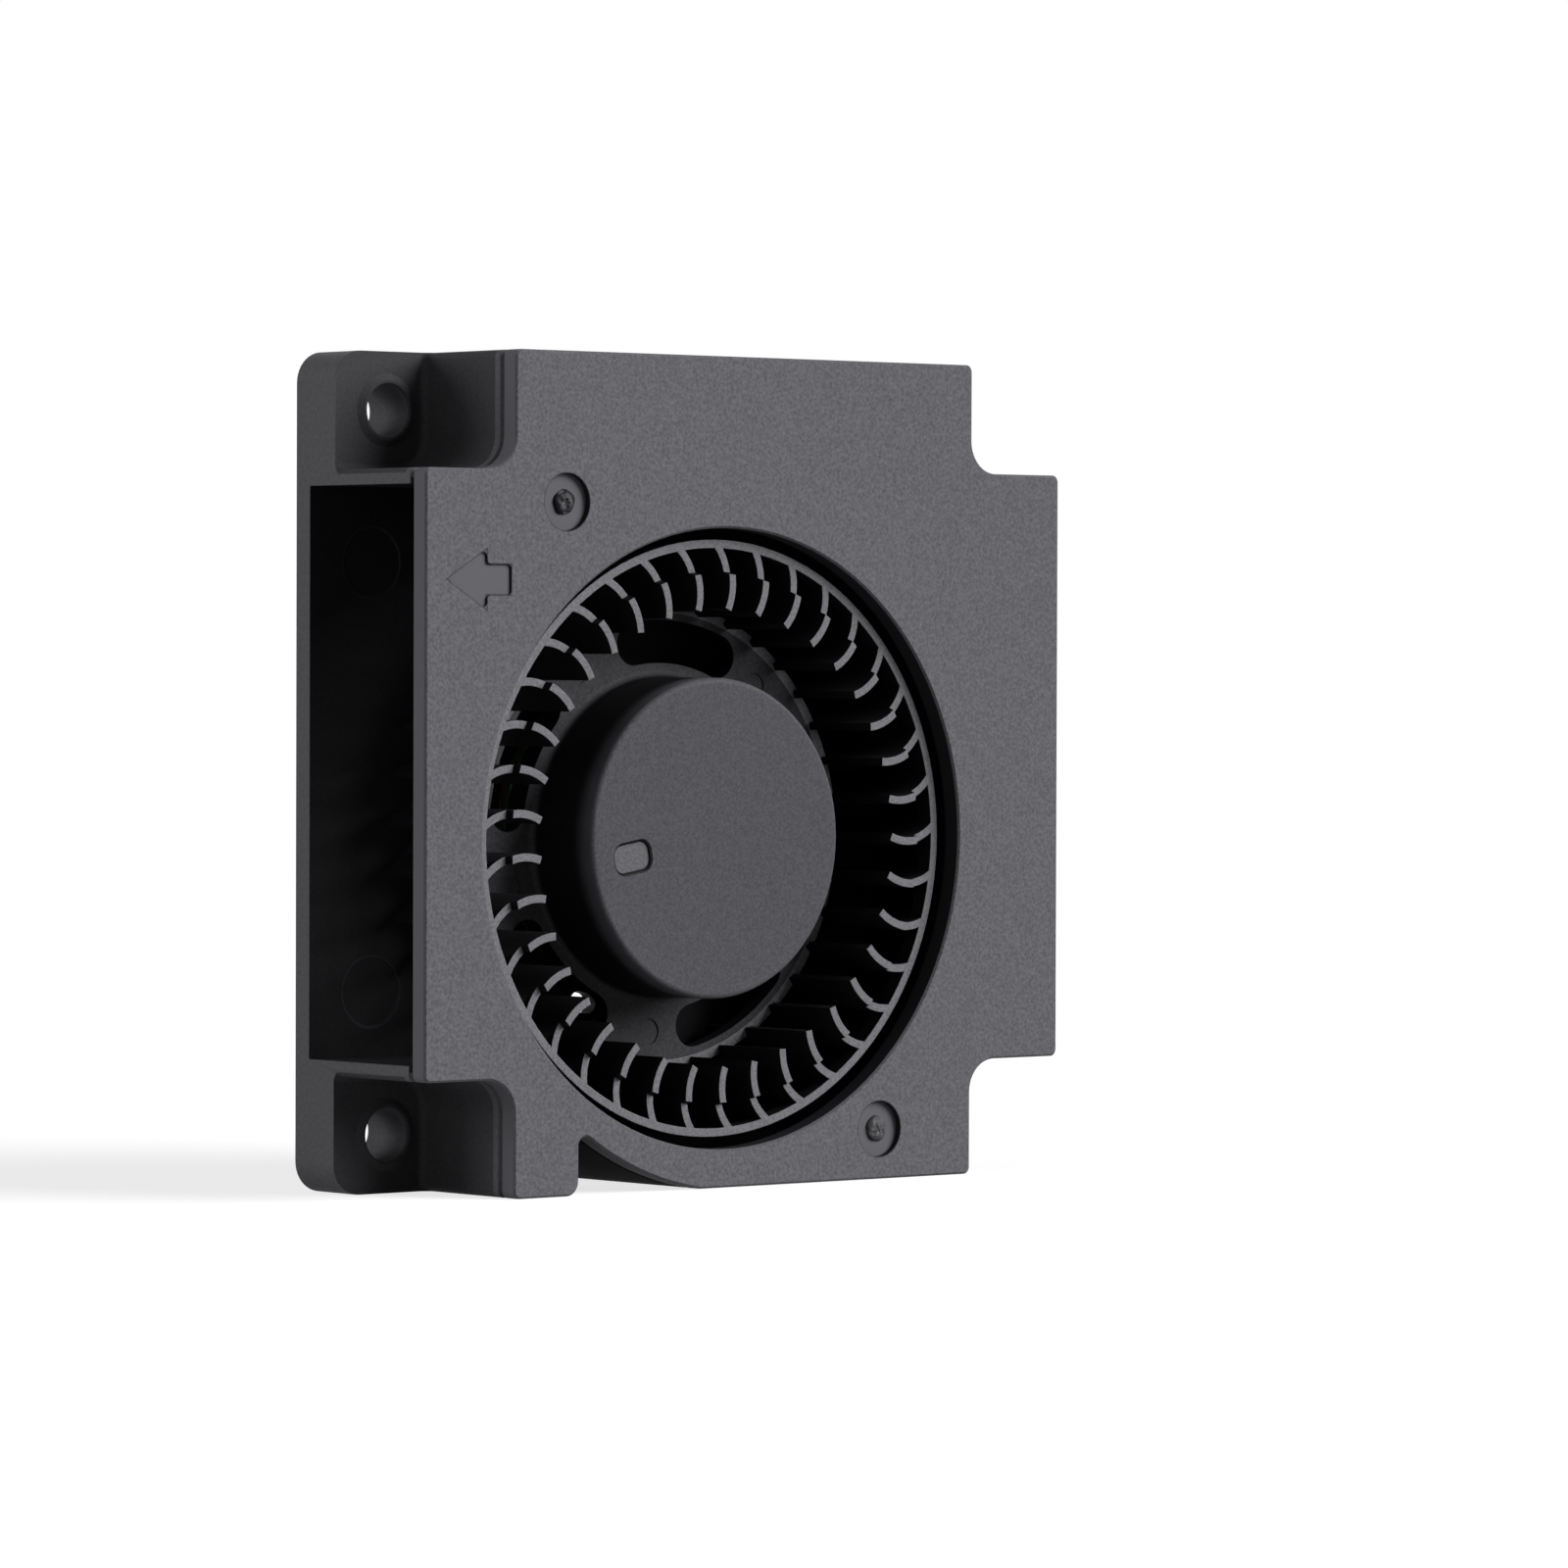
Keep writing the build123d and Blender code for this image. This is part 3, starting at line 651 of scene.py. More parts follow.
@dataclass(frozen=True)
class Metal(Finish):
    """Bare metal with fine machining lines or pores.

    Attributes:
        lay: Direction of the lines.
        line_width: Width of a line or pore.
        line_depth: Depth of the lines.
        stretch: Width over length of a drawn line.
        stain: Share by which patches darken the metal on average.
        patch: Size of a patch.
    """

    unevenness: float = 0.12
    lay: Lay = Lay.NONE
    line_width: float = 0.03
    line_depth: float = 0.002
    stretch: float = 0.02
    stain: float = 0.1
    patch: float = 1.5

    def grain_place(self, graph: Graph) -> Socket:
        """Coordinates along which the lines run out: distance from the axis and Y if turned.

        Args:
            graph: The material's node tree.

        Returns:
            The coordinates' socket.
        """
        if self.lay is Lay.DRAWN:
            return graph.scaled((1.0, self.stretch, 1.0))
        if self.lay is Lay.TURNED:
            turned = {"X": graph.from_axis(), "Y": graph.axes[1]}
            return graph.add("ShaderNodeCombineXYZ", turned).outputs[0]
        return graph.place

    def shade(self, graph: Graph) -> Socket:
        """Builds the metal. See the base class."""
        lines = graph.noise(self.line_width, 2.0, self.grain_place(graph))
        stained = graph.noise(self.patch, 3.0)
        return graph.surface(
            Base_Color=graph.blend(stained, self.colour, self.darker(1 - 2 * self.stain)),
            Metallic=1.0,
            Roughness=self.drifting(graph, lines),
            Normal=graph.relief(lines, self.line_depth, self.edge),
        )


@dataclass(frozen=True)
class StackedSheet(Finish):
    """Punched steel sheets in a stack, with a fine gap between two sheets.

    Attributes:
        sheet: Thickness of a sheet.
        start_depth: Depth of the first sheet's face.
        gap_start: Distance from a sheet's middle at which its gap begins, in sheets.
        gap_share: Share of the colour that is left in a gap.
        gap_depth: Depth of a gap.
        burr: Size of the rough spots.
        metallic: Share of bare metal.
    """

    unevenness: float = 0.2
    sheet: float = 0.2
    start_depth: float = 3.9
    gap_start: float = 0.36
    gap_share: float = 0.25
    gap_depth: float = 0.02
    burr: float = 0.08
    metallic: float = 0.9

    def shade(self, graph: Graph) -> Socket:
        """Lines at f = frac((y - y0) / sheet) near 0 and 1. See the base class."""
        offset = graph.minus(graph.axes[1], at_depth(self.start_depth) * MM)
        within = graph.math("FRACT", graph.math("DIVIDE", offset, self.sheet * MM))
        gap = graph.ramp(graph.math("ABSOLUTE", graph.minus(within, 0.5)), self.gap_start, 0.5)
        return graph.surface(
            Base_Color=graph.blend(gap, self.colour, self.darker(self.gap_share)),
            Metallic=self.metallic,
            Roughness=self.drifting(graph, graph.noise(self.burr, 2.0)),
            Normal=graph.relief(graph.minus(1.0, gap), self.gap_depth, self.edge),
        )


@dataclass(frozen=True)
class EnamelledWire(Finish):
    """Copper wire under a clear enamel.

    Attributes:
        enamel: Weight of the clear coat.
        enamel_roughness: Roughness of that coat.
        metallic: Share of metal under it.
        drift: Length over which the tone drifts.
        deep: Share of the colour where the tone is deepest.
    """

    enamel: float = 0.5
    enamel_roughness: float = 0.12
    metallic: float = 0.85
    drift: float = 0.5
    deep: float = 0.7

    def shade(self, graph: Graph) -> Socket:
        """Builds copper with a coat whose tone drifts along the wire. See the base class."""
        return graph.surface(
            Base_Color=graph.blend(graph.noise(self.drift, 2.0), self.colour, self.darker(self.deep)),
            Metallic=self.metallic,
            Roughness=self.roughness,
            Coat_Weight=self.enamel,
            Coat_Roughness=self.enamel_roughness,
        )


@dataclass(frozen=True)
class SolderMask(Finish):
    """Circuit board with lacquered faces, faint tracks under the lacquer and a bare cut edge.

    Attributes:
        track_width: Width of a track.
        track_rise: Height of a track.
        track_light: Factor and addend that make a track lighter than the base colour.
        blur: Share of a track's half width by which its side is soft.
        cell: Distance between tracks.
        disorder: How far the cells between the tracks stray from a square grid, 0 to 1.
        core: Colour of the glass laminate at the edge.
        lacquer_facing: How far a face looks along Y where the lacquer starts, and where it is full.
        gloss: Specular level.
    """

    track_width: float = 0.22
    track_rise: float = 0.03
    track_light: tuple[float, float] = (1.9, 0.01)
    blur: float = 0.2
    cell: float = 1.4
    disorder: float = 0.55
    core: Colour = (0.03, 0.026, 0.016)
    lacquer_facing: tuple[float, float] = (0.4, 0.6)
    gloss: float = 0.5

    def shade(self, graph: Graph) -> Socket:
        """Tracks where the distance to a cell's border is under half a track. See the base class."""
        cells = {"Vector": graph.flat, "Scale": 1 / (self.cell * MM), "Randomness": self.disorder}
        border = graph.add("ShaderNodeTexVoronoi", cells, feature="DISTANCE_TO_EDGE").outputs[0]
        half = self.track_width / self.cell / 2
        ground = graph.ramp(border, half * (1 - self.blur), half * (1 + self.blur))
        factor, addend = self.track_light
        track = tuple(c * factor + addend for c in self.colour)
        lacquered = graph.ramp(graph.math("ABSOLUTE", graph.facing), *self.lacquer_facing)
        return graph.surface(
            Base_Color=graph.blend(lacquered, self.core, graph.blend(ground, track, self.colour)),
            Roughness=self.roughness,
            Specular_IOR_Level=self.gloss,
            Normal=graph.relief(graph.minus(1.0, ground), self.track_rise, self.edge),
        )


@dataclass(frozen=True)
class ChipBody(Finish):
    """Chip with tinned leads or caps outside its body's rectangle.

    Attributes:
        angle: Angle of the chip's middle about the rotor's axis.
        radius: Distance of its middle from the axis.
        length: Length of the body between its metal ends.
        width: Width of the body between its leads.
        tin: Colour of the leads.
        grain_size: Size of a grain.
        grain_depth: Depth of the grain.
        sheen: How much less rough the smoothest grains are.
        margin: How far the body covers the start of the leads.
    """

    unevenness: float = 0.15
    angle: float = 0.0
    radius: float = 4.9
    length: float = 2.9
    width: float = 1.6
    tin: Colour = (0.72, 0.72, 0.7)
    grain_size: float = 0.06
    grain_depth: float = 0.004
    sheen: float = 0.08
    margin: float = 0.01

    def shade(self, graph: Graph) -> Socket:
        """Metal where max(|v| - length / 2, |u| - width / 2) > margin, v across the radius, u along."""
        sides = zip(graph.offsets(self.angle, self.radius), (self.width, self.length))
        over = graph.math("MAXIMUM", *(graph.minus(off, size * MM / 2) for off, size in sides))
        lead = graph.math("GREATER_THAN", over, self.margin * MM)
        grain = graph.noise(self.grain_size, 3.0)
        return graph.surface(
            Base_Color=graph.blend(lead, self.colour, self.tin),
            Metallic=lead,
            Roughness=graph.math("MULTIPLY_ADD", grain, self.unevenness, self.roughness - self.sheen),
            Normal=graph.relief(grain, self.grain_depth, self.edge),
        )


CASE_PLASTIC = TubPlastic(
    "case_plastic", (0.106, 0.104, 0.114), 0.62, gloss=0.05, grain_depth=0.004, mottling=0.14
)
COVER_PLASTIC = LidPlastic(
    "case_plastic", (0.123, 0.121, 0.134), 0.6, gloss=0.05, grain_size=0.16, grain_depth=0.012, mottling=0.32
)
# upper melt: the painted shade ring and the dark blotches at full share
UPPER_MELT_PLASTIC = MeltedPlastic(
    "case_plastic", (0.09, 0.088, 0.096), 0.6, gloss=0.05, grain_depth=0.004, middle=STAKE_PLACES[0]
)
MELTED_PLASTIC = MeltedPlastic(
    "case_plastic", (0.115, 0.113, 0.124), 0.45, gloss=0.12, middle=STAKE_PLACES[1], dark_share=0.6
)
FAN_PLASTIC = FanPlastic(
    "impeller_plastic",
    (0.08, 0.078, 0.087),
    0.5,
    edge=0.06,
    # painted shade of the impeller's hub side, flanks and mark line
    painted_shade=(0.008, 0.008, 0.009),
    grain_size=0.13,
    grain_depth=0.006,
    mottling=0.3,
    gloss=0.05,
)
NYLON = MouldedPlastic("bobbin_plastic", (0.74, 0.73, 0.66), 0.45, mottling=0.02, clear=0.2)
PAD = MouldedPlastic("pad_plastic", (0.78, 0.78, 0.74), 0.4, mottling=0.02, clear=0.2)
FERRITE = MouldedPlastic("magnet", (0.095, 0.09, 0.086), 0.7, grain_size=0.06, mottling=0.2)
BRASS = Metal("brass", (0.78, 0.6, 0.32), 0.28, lay=Lay.TURNED)
BRONZE = Metal("sintered_bronze", (0.55, 0.4, 0.24), 0.55, line_width=0.05, line_depth=0.012, stain=0.2)
YOKE_STEEL = Metal("yoke_steel", (0.58, 0.58, 0.57), 0.34, lay=Lay.DRAWN, stain=0.06)
SHAFT_STEEL = Metal("shaft_steel", (0.74, 0.74, 0.75), 0.16, lay=Lay.TURNED, line_depth=0.0008, stain=0.03)
TIN = Metal("tinned_pin", (0.75, 0.75, 0.74), 0.3, line_depth=0.003)
CORE_STEEL = StackedSheet("core_steel", (0.48, 0.48, 0.5), 0.42)
COPPER = EnamelledWire("copper_wire", (0.72, 0.3, 0.11), 0.28)
LACQUER = SolderMask("board", (0.03, 0.17, 0.07), 0.3)
EPOXY_COLOUR = (0.028, 0.028, 0.031)
CERAMIC_COLOUR = (0.5, 0.36, 0.22)


@dataclass(frozen=True)
class Shell:
    """Closed surface of rings of points, with its ends drawn to a point or joined to each other.

    Attributes:
        rings: Points, as (ring, place in the ring, coordinate).
        poles: End points before the first and after the last ring, or none if the rings join up.
    """

    rings: np.ndarray
    poles: tuple[np.ndarray, np.ndarray] | None = None

    def faces(self) -> tuple[np.ndarray, np.ndarray]:
        """Works out the corners of all faces from the grid's own numbering.

        Returns:
            Corner numbers of the quads, and those of the triangles at the poles.
        """
        rows, columns = self.rings.shape[:2]
        last = rows if self.poles is None else rows - 1
        i, j = np.meshgrid(np.arange(last), np.arange(columns), indexing="ij")
        below, beside = (i + 1) % rows, (j + 1) % columns
        corners = (i * columns + j, below * columns + j, below * columns + beside, i * columns + beside)
        quads = np.stack(corners, axis=-1).reshape(-1, 4)
        if self.poles is None:
            return quads, np.empty((0, 3), int)
        start, beside = np.arange(columns), (np.arange(columns) + 1) % columns
        end, top = (rows - 1) * columns, rows * columns
        first_fan = np.stack([start, beside, np.full(columns, top)], axis=-1)
        last_fan = np.stack([end + beside, end + start, np.full(columns, top + 1)], axis=-1)
        return quads, np.concatenate([first_fan, last_fan])

    def points(self) -> np.ndarray:
        """Lists the grid's points and then its poles, as (number, coordinate) in millimetres."""
        flat = self.rings.reshape(-1, 3)
        return flat if self.poles is None else np.vstack([flat, *self.poles])


def round_angles(columns: int) -> np.ndarray:
    """Angles of the points of a ring, as one row."""
    return np.linspace(0, 2 * np.pi, columns, endpoint=False)[None, :]


def turned(x: float, z: float, t: np.ndarray, radius: np.ndarray, y: np.ndarray) -> Shell:
    """Closed surface of rings (x + r cos t, y, z + r sin t), with the middles of its ends as poles.

    Args:
        x: X of the axis.
        z: Z of the axis.
        t: Angles round the axis.
        radius: Radius r of each point.
        y: Y of each point.

    Returns:
        The surface.
    """
    rings = np.stack(np.broadcast_arrays(x + radius * np.cos(t), y, z + radius * np.sin(t)), axis=-1)
    first, last = (np.array([[x, ring[:, 1].mean(), z]]) for ring in (rings[0], rings[-1]))
    return Shell(rings, (first, last))


def volume(points: np.ndarray, faces: np.ndarray) -> float:
    """Signed volume inside faces, the sum of p0 . (p1 x p2) / 6 over their triangles.

    Args:
        points: All points.
        faces: Corner numbers, one row for each face.

    Returns:
        Volume, above zero if the faces look outwards.
    """
    total = 0.0
    for corner in range(1, faces.shape[1] - 1):
        a, b, c = points[faces[:, 0]], points[faces[:, corner]], points[faces[:, corner + 1]]
        total += float(np.einsum("ij,ij->", a, np.cross(b, c))) / 6
    return total


def add_object(name: str, data: ID) -> Object:
    """Makes an object and puts it into the scene.

    Args:
        name: Name of the object.
        data: Its mesh, lamp or camera.

    Returns:
        The new object.
    """
    thing = bpy.data.objects.new(name, data)
    bpy.context.scene.collection.objects.link(thing)
    return thing


def make_piece(name: str, shells: Sequence[Shell], finish: Finish, body: str) -> Object:
    """Makes one piece of closed shells, dresses it and lets it ride on a body.

    Args:
        name: Name of the piece.
        shells: Its closed surfaces.
        finish: Its look.
        body: CAD body that carries it.

    Returns:
        The new object.
    """
    points, faces, start = [], [], 0
    for shell in shells:
        own = shell.points()
        groups = [group for group in shell.faces() if len(group)]
        inward = sum(volume(own - own.mean(axis=0), group) for group in groups) < 0
        for group in groups:
            outward = group[:, ::-1] if inward else group
            faces.extend((outward + start).tolist())
        points.append(own)
        start += len(own)
    mesh = bpy.data.meshes.new(name)
    mesh.from_pydata((np.vstack(points) * MM).tolist(), [], faces)
    mesh.polygons.foreach_set("use_smooth", np.ones(len(mesh.polygons), bool))
    mesh.update()
    piece = add_object(name, mesh)
    finish.put_on(piece)
    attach(piece, body)
    log.info("%s: %d faces on body %s", name, len(faces), body)
    return piece


@dataclass(frozen=True)
class SubAssembly(ABC):
    """A group of pieces that is dressed and completed together.

    Attributes:
        nodes: All CAD nodes by name.
        finishes: Look of each of the group's nodes.
    """

    nodes: Mapping[str, Object]
    finishes: ClassVar[dict[str, Finish]] = {}

    def dress(self) -> None:
        """Puts the finishes on the group's CAD nodes and smooths their round faces."""
        for name, finish in self.finishes.items():
            finish.put_on(self.nodes[name])
            smooth_round_faces(self.nodes[name])
            log.info("%s: dressed as %s", name, finish.slot)

    @abstractmethod
    def build(self) -> None:
        """Makes the group's new pieces."""


def smooth_round_faces(
    node: Object, merge: float = 0.0001, angle: float = 28.0, flatness: int = 90
) -> None:
    """Shades a CAD mesh smooth across its small angles, flat on its large faces, by modifiers only.

    Args:
        node: The CAD node.
        merge: Distance within which points become one.
        angle: Largest angle that counts as round.
        flatness: How much a large face outweighs a small one beside it, 1 to 100 with 50 even.
    """
    node.data.polygons.foreach_set("use_smooth", np.ones(len(node.data.polygons), bool))
    weld = node.modifiers.new("weld", "WELD")
    weld.merge_threshold = merge * MM
    split = node.modifiers.new("edges", "EDGE_SPLIT")
    split.split_angle = math.radians(angle)
    weighted = node.modifiers.new("flat", "WEIGHTED_NORMAL")
    weighted.weight = flatness
    weighted.keep_sharp = True


@dataclass(frozen=True)
class Melt:
    """Melted end of a stake that holds the cover.

    Attributes:
        x: Middle of the stake.
        z: Middle of the stake.
        radius: Mean radius of the melted head.
        base_depth: Depth of the recess that it sits in.
        height: Height of the head above that.
        turn: Turn of its uneven outline.
    """

    x: float
    z: float
    radius: float = 0.62
    base_depth: float = 0.3
    height: float = 0.27
    turn: float = 0.0

    def shell(self, rows: int = 26, columns: int = 64) -> Shell:
        """Dented dome, h = H sqrt(1 - s^4) (0.86 + 0.1 cos(2 pi s - a) sin 3t + 0.05 sin(7t + 5s)).

        s runs from 0 in the middle to 1 at the rim, t goes round, and the rim's radius is
        R (1 + 0.05 sin(2t + a) + 0.035 sin(5t)).

        Args:
            rows: Rings from the middle to the rim.
            columns: Points in a ring.

        Returns:
            The closed dome.
        """
        s = np.linspace(0, 1, rows + 1)[1:, None]
        t = round_angles(columns)
        a = math.radians(self.turn)
        rim = self.radius * (1 + 0.05 * np.sin(2 * t + a) + 0.035 * np.sin(5 * t))
        dents = 0.86 + 0.1 * np.cos(2 * np.pi * s - a) * np.sin(3 * t) + 0.05 * np.sin(7 * t + 5 * s)
        rise = self.height * np.sqrt(np.clip(1 - s**4, 0, 1)) * dents
        return turned(self.x, self.z, t, rim * s, at_depth(self.base_depth) - rise)


@dataclass(frozen=True)
class Case(SubAssembly):
    """Housing and cover, with the melted stakes that hold the cover.

    Attributes:
        upper: Melted end of the upper stake.
        lower: Melted end of the lower stake.
    """

    finishes = {"housing": CASE_PLASTIC, "front_cover": COVER_PLASTIC}
    upper: Melt = Melt(*STAKE_PLACES[0], turn=40.0)
    lower: Melt = Melt(*STAKE_PLACES[1], turn=210.0)

    def build(self) -> None:
        """Makes the melted ends of the stakes."""
        make_piece("stake_melt_upper", [self.upper.shell()], UPPER_MELT_PLASTIC, "case")
        make_piece("stake_melt_lower", [self.lower.shell()], MELTED_PLASTIC, "case")


@dataclass(frozen=True)
class Rotor(SubAssembly):
    """Impeller and what turns with it."""

    finishes = {
        "impeller": FAN_PLASTIC,
        "rotor_yoke": YOKE_STEEL,
        "ring_magnet": FERRITE,
        "shaft": SHAFT_STEEL,
        "retaining_ring": PAD,
        "oil_washer": PAD,
    }

    def build(self) -> None:
        """Adds nothing: the CAD pieces hold all of the rotor's shape."""


@dataclass(frozen=True)
class Winding:
    """Wound coil round one pole's arm.

    Attributes:
        angle: Angle of the arm about the axis.
        inner: Distance of its inner end from the axis.
        outer: Distance of its outer end from the axis.
        width: Outer width across the arm.
        height: Outer height along Y.
        arm_width: Width of the insulated arm inside.
        arm_height: Height of the insulated arm inside.
        middle_depth: Depth of the arm's middle.
        turns: Turns of wire in the top layer.
        rounding: Exponent of the section, 1 for an ellipse and 0 for a rectangle.
    """

    angle: float
    inner: float = 3.77
    outer: float = 4.98
    width: float = 3.2
    height: float = 4.5
    arm_width: float = 1.92
    arm_height: float = 3.22
    middle_depth: float = 5.1
    turns: int = 11
    rounding: float = 0.4

    def section(self, t: np.ndarray, half_width: np.ndarray, half_height: np.ndarray) -> np.ndarray:
        """Rounded section, (w, y) = (a sgn(cos t) |cos t|^k, b sgn(sin t) |sin t|^k), k the rounding.

        Args:
            t: Angle round the section.
            half_width: Half of its width, a.
            half_height: Half of its height, b.

        Returns:
            Points as (..., 2).
        """
        w = half_width * np.sign(np.cos(t)) * np.abs(np.cos(t)) ** self.rounding
        y = half_height * np.sign(np.sin(t)) * np.abs(np.sin(t)) ** self.rounding
        return np.stack(np.broadcast_arrays(w, y), axis=-1)

    def shell(self, samples: int = 8, columns: int = 96) -> Shell:
        """Surface of the top layer, whose wires run in a helix round the arm.

        With r the wire's radius and f = frac(N s + t / 2 pi), the section shrinks by
        r (1 - sqrt(1 - (2f - 1)^2)). A point at distance q from the axis stands at
        sqrt(q^2 - w^2) along the arm, so that both ends are round about the axis.

        Args:
            samples: Rings for each turn of wire.
            columns: Points round the section.

        Returns:
            The winding, closed through the hole for the arm.
        """
        s = np.linspace(0, 1, self.turns * samples + 1)[:, None]
        t = round_angles(columns)
        wire = (self.outer - self.inner) / self.turns / 2
        f = np.mod(self.turns * s + t / (2 * np.pi), 1.0)
        groove = wire * (1 - np.sqrt(np.clip(1 - (2 * f - 1) ** 2, 0, 1)))
        wound = self.section(t, self.width / 2 - groove, self.height / 2 - groove)
        hole = self.section(t, np.full_like(t, self.arm_width / 2), np.full_like(t, self.arm_height / 2))
        flat = np.concatenate([hole, wound, hole])
        reach = np.concatenate([s[:1], s, s[-1:]]) * (self.outer - self.inner) + self.inner
        w, y = flat[..., 0], flat[..., 1]
        along = np.sqrt(reach**2 - w**2)
        turn = math.radians(self.angle)
        x = ROTOR_X + along * math.cos(turn) - w * math.sin(turn)
        z = ROTOR_Z + along * math.sin(turn) + w * math.cos(turn)
        return Shell(np.stack([x, at_depth(self.middle_depth) + y, z], axis=-1))


@dataclass(frozen=True)
class Motor(SubAssembly):
    """Bearing and stator.

    Attributes:
        windings: Coil of each pole.
    """

    finishes = {
        "bearing_tube": BRASS,
        "sleeve_bearing": BRONZE,
        "thrust_pad": PAD,
        "bearing_cap": PAD,
        "stator_core": CORE_STEEL,
        "insulator_front": NYLON,
        "insulator_back": NYLON,
    }
    windings: tuple[Winding, ...] = tuple(Winding(angle) for angle in POLE_ANGLES)

    def build(self) -> None:
        """Makes the windings, which stand for the plain coils of the frame."""
        for name, winding in zip(POLE_NAMES, self.windings):
            piece = make_piece(f"winding_{name}", [winding.shell()], COPPER, "case")
            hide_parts(f"coil_{name}")


@dataclass(frozen=True)
class SolderFillet:
    """Solder round a pin on the back of the board.

    Attributes:
        angle: Angle of the pin about the axis.
        circle: Distance of the pins from the axis.
        pin_radius: Radius of the pin.
        gap: How far the solder stays off the pin and beyond its foot's radius.
        foot_radius: Radius of the solder on the board.
        board_depth: Depth of the board's back.
        height: Height of the solder on the pin.
    """

    angle: float
    circle: float = 5.425
    pin_radius: float = 0.2
    gap: float = 0.01
    foot_radius: float = 0.46
    board_depth: float = 8.35
    height: float = 0.2

    def shell(self, rows: int = 12, columns: int = 32) -> Shell:
        """Cone with a hollow side, r = p + g + (R - p) s^2 and y = H (1 - s), s from 0 to 1.

        Args:
            rows: Rings from the pin to the foot.
            columns: Points in a ring.

        Returns:
            The closed fillet.
        """
        s = np.linspace(0, 1, rows)[:, None]
        t = round_angles(columns)
        radius = self.pin_radius + self.gap + (self.foot_radius - self.pin_radius) * s**2
        turn = math.radians(self.angle)
        x0, z0 = ROTOR_X + self.circle * math.cos(turn), ROTOR_Z + self.circle * math.sin(turn)
        return turned(x0, z0, t, radius, at_depth(self.board_depth) + self.height * (1 - s))


@dataclass(frozen=True)
class Board(SubAssembly):
    """Circuit board with its chips, pins and solder.

    Attributes:
        fillets: Solder round each pin.
    """

    finishes = {
        "circuit_board": LACQUER,
        "terminal_pins": TIN,
        "hall_sensor": ChipBody("chip_body", EPOXY_COLOUR, 0.5, angle=45.0, width=1.3),
        "driver_chip": ChipBody("chip_body", EPOXY_COLOUR, 0.5, angle=135.0),
        "chip_capacitor": ChipBody("chip_ceramic", CERAMIC_COLOUR, 0.4, angle=225.0, radius=5.55, length=1.0),
        "chip_resistor": ChipBody("chip_body", EPOXY_COLOUR, 0.3, angle=225.0, radius=4.25, length=1.0),
        "reverse_diode": ChipBody("chip_body", EPOXY_COLOUR, 0.5, angle=315.0, length=2.6, width=1.8),
    }
    fillets: tuple[SolderFillet, ...] = tuple(SolderFillet(angle) for angle in POLE_ANGLES)

    def build(self) -> None:
        """Makes the solder round the pins."""
        make_piece("pin_solder", [fillet.shell() for fillet in self.fillets], TIN, "case")


@dataclass(frozen=True)
class Lamp:
    """Soft lamp far away, which lights the object and the floor evenly.

    Attributes:
        name: Name of the lamp.
        direction: Direction from the object to the lamp.
        level: What a white surface that faces the lamp shows, where 1 is white.
        softness: Angle over which the lamp's light comes in.
    """

    name: str
    direction: Point
    level: float
    softness: float = 30.0

    def make(self) -> Object:
        """Makes the lamp with strength S = level pi, at which a facing white surface shows level.

        Returns:
            The lamp.
        """
        data = bpy.data.lights.new(self.name, "SUN")
        data.energy = self.level * math.pi
        data.angle = math.radians(self.softness)
        lamp = add_object(self.name, data)
        lamp.rotation_euler = Vector(self.direction).to_track_quat("Z", "Y").to_euler()
        return lamp


@dataclass(frozen=True)
class Viewpoint:
    """Camera place fitted to the photograph.

    Attributes:
        yaw: Turn about the upright axis, 0 looking along +Y.
        pitch: Height above the level.
        roll: Turn about the line of sight.
        distance: Distance from the target.
        target: Point at which the yaw and pitch are taken.
        aside: How far the object lies to the right of and above the line of sight.
        pixels: Focal length in pixels of a picture that is 1600 wide.
        sensor: Width of the sensor.
        clip: Nearest and farthest distance that is shown, in metres.
    """

    yaw: float = -40.577
    pitch: float = 0.991
    roll: float = 0.182
    distance: float = 367.3
    target: Point = (0.0, 0.0, 20.0)
    aside: tuple[float, float] = (-4.751, 0.653)
    pixels: float = 7686.3
    sensor: float = 36.0
    clip: tuple[float, float] = (0.01, 10.0)

    def make(self) -> Object:
        """Makes the camera, whose axes are right, up and back as columns of its matrix.

        Returns:
            The camera.
        """
        a, e, r = (math.radians(v) for v in (self.yaw, self.pitch, self.roll))
        back = Vector((math.sin(a) * math.cos(e), -math.cos(a) * math.cos(e), math.sin(e)))
        level = Vector((math.cos(a), math.sin(a), 0.0))
        upright = back.cross(level)
        right = level * math.cos(r) + upright * math.sin(r)
        up = upright * math.cos(r) - level * math.sin(r)
        place = Vector(self.target) + back * self.distance - right * self.aside[0] - up * self.aside[1]
        data = bpy.data.cameras.new("camera")
        data.sensor_width = self.sensor
        data.lens = self.pixels / PHOTO_WIDTH * self.sensor
        data.clip_start, data.clip_end = self.clip
        camera = add_object("camera", data)
        turn = Matrix((right, up, back)).transposed().to_4x4()
        camera.matrix_world = Matrix.Translation(place * MM) @ turn
        return camera


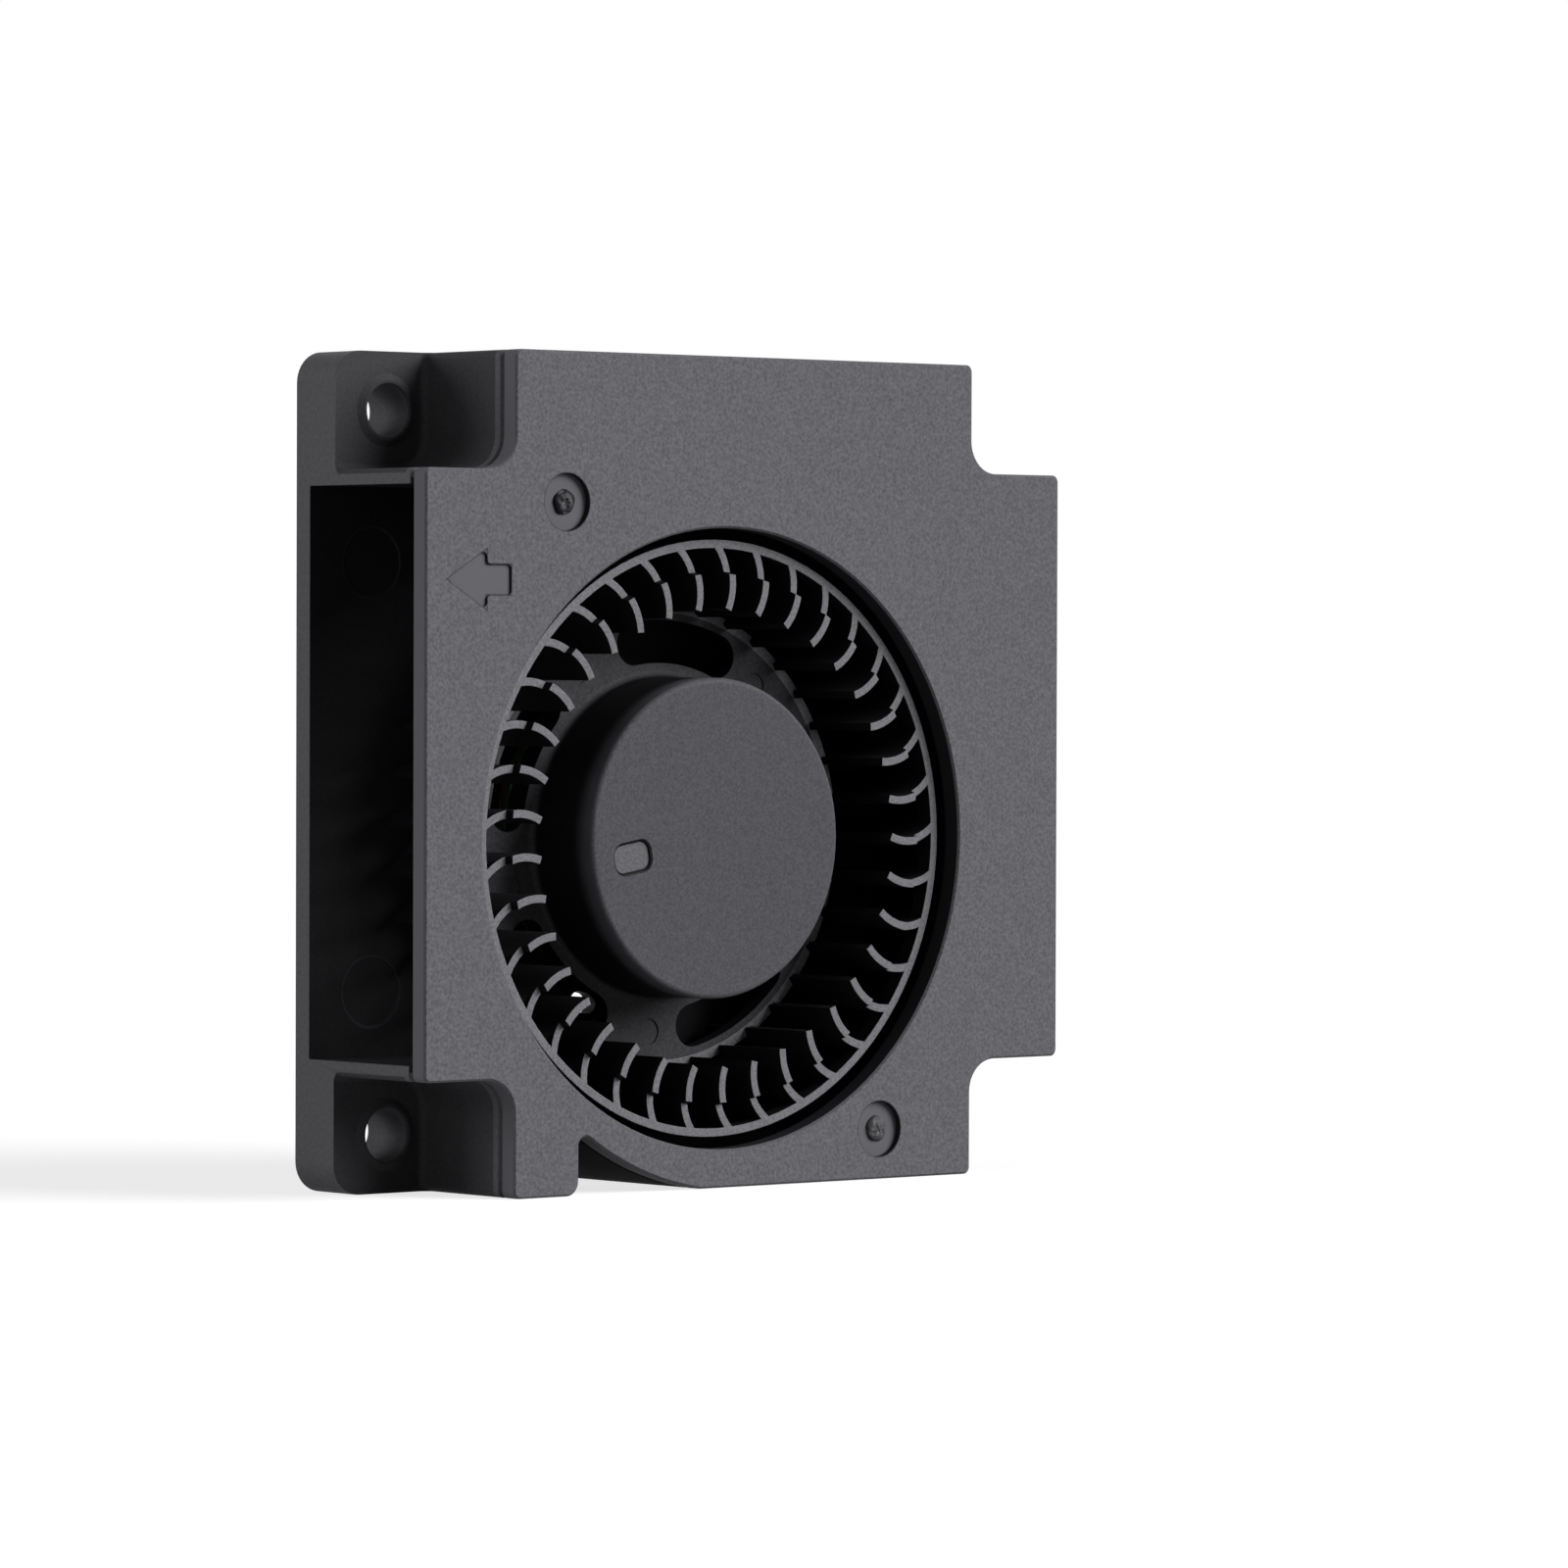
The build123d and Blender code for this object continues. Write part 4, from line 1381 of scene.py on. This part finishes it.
@dataclass(frozen=True)
class Studio:
    """Pale floor, soft lamps and camera.

    Attributes:
        lamps: The lamps.
        ambient: Level of the light from all round.
        floor_size: Width of the floor in metres.
        floor_gap: How far the floor lies below the object.
        floor_glow: Share of the floor's white that needs no lamp.
        floor_colour: Colour that the floor shows on top of that where light falls.
        floor_bounce: Colour with which it lights the object.
        view: Camera place.
    """

    lamps: tuple[Lamp, ...] = (
        Lamp("key", (0.57, -0.66, 0.44), 1.27, 40.0),
        Lamp("rim", (-0.7, 0.64, 0.28), 0.42, 30.0),
        Lamp("side", (-0.95, -0.2, 0.2), 0.07, 20.0),
    )
    ambient: float = 0.04
    floor_size: float = 4.0
    floor_gap: float = 0.02
    floor_glow: float = 0.75
    floor_colour: float = 0.4
    floor_bounce: float = 0.35
    view: Viewpoint = Viewpoint()

    def seen(self, graph: Graph) -> Socket:
        """Socket that is 1 for camera, glossy and transmission rays, 0 for those that only light."""
        path = graph.add("ShaderNodeLightPath", {}).outputs
        return graph.fold("MAXIMUM", *(path[f"Is {ray} Ray"] for ray in ("Camera", "Glossy", "Transmission")))

    def floor_material(self) -> Material:
        """Makes the floor white to the eye and darker as a source of light, with shadows in both.

        Returns:
            The material.
        """
        material = bpy.data.materials.new("floor")
        graph = Graph(material)
        greys = [(level,) * 3 + (1.0,) for level in (self.floor_colour, self.floor_bounce)]
        lit, bounced = (graph.add("ShaderNodeBsdfDiffuse", {"Color": grey}).outputs[0] for grey in greys)
        glow = graph.add("ShaderNodeEmission", {"Strength": self.floor_glow}).outputs[0]
        shown = graph.add("ShaderNodeAddShader", {0: lit, 1: glow}).outputs[0]
        both = graph.add("ShaderNodeMixShader", {0: self.seen(graph), 1: bounced, 2: shown}).outputs[0]
        graph.add("ShaderNodeOutputMaterial", {"Surface": both})
        return material

    def make_floor(self) -> None:
        """Makes the floor a hair below the object."""
        half = self.floor_size / 2
        square = [(-half, -half, 0.0), (half, -half, 0.0), (half, half, 0.0), (-half, half, 0.0)]
        mesh = bpy.data.meshes.new("floor")
        mesh.from_pydata(square, [], [(0, 1, 2, 3)])
        mesh.materials.append(self.floor_material())
        floor = add_object("floor", mesh)
        floor.location.z = -self.floor_gap * MM

    def make_world(self) -> None:
        """Makes the surroundings white to the eye and faint as a source of light."""
        world = bpy.data.worlds.new("surroundings")
        bpy.context.scene.world = world
        graph = Graph(world)
        level = graph.math("MULTIPLY_ADD", self.seen(graph), 1 - self.ambient, self.ambient)
        back = graph.add("ShaderNodeBackground", {"Color": (1.0, 1.0, 1.0, 1.0), "Strength": level})
        graph.add("ShaderNodeOutputWorld", {"Surface": back.outputs[0]})

    def make(self) -> None:
        """Sets floor, surroundings, lamps, camera and the plain colour transform."""
        self.make_floor()
        self.make_world()
        for lamp in self.lamps:
            lamp.make()
        bpy.context.scene.camera = self.view.make()
        bpy.context.scene.view_settings.view_transform = "Standard"
        log.info("studio: %d lamps", len(self.lamps))


def corners(bounds: tuple[Vector, Vector]) -> list[list[float]]:
    """Turns the lowest and highest corner of a box into plain lists."""
    return [[float(v) for v in corner] for corner in bounds]


def main() -> None:
    """Builds the whole scene."""
    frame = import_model()
    for group in (Case, Rotor, Motor, Board):
        part = group(frame["nodes"])
        part.dress()
        part.build()
    Studio().make()
    bpy.context.view_layer.update()


if __name__ == "__main__":
    logging.basicConfig(level=logging.INFO, format="%(name)s %(message)s")
    main()
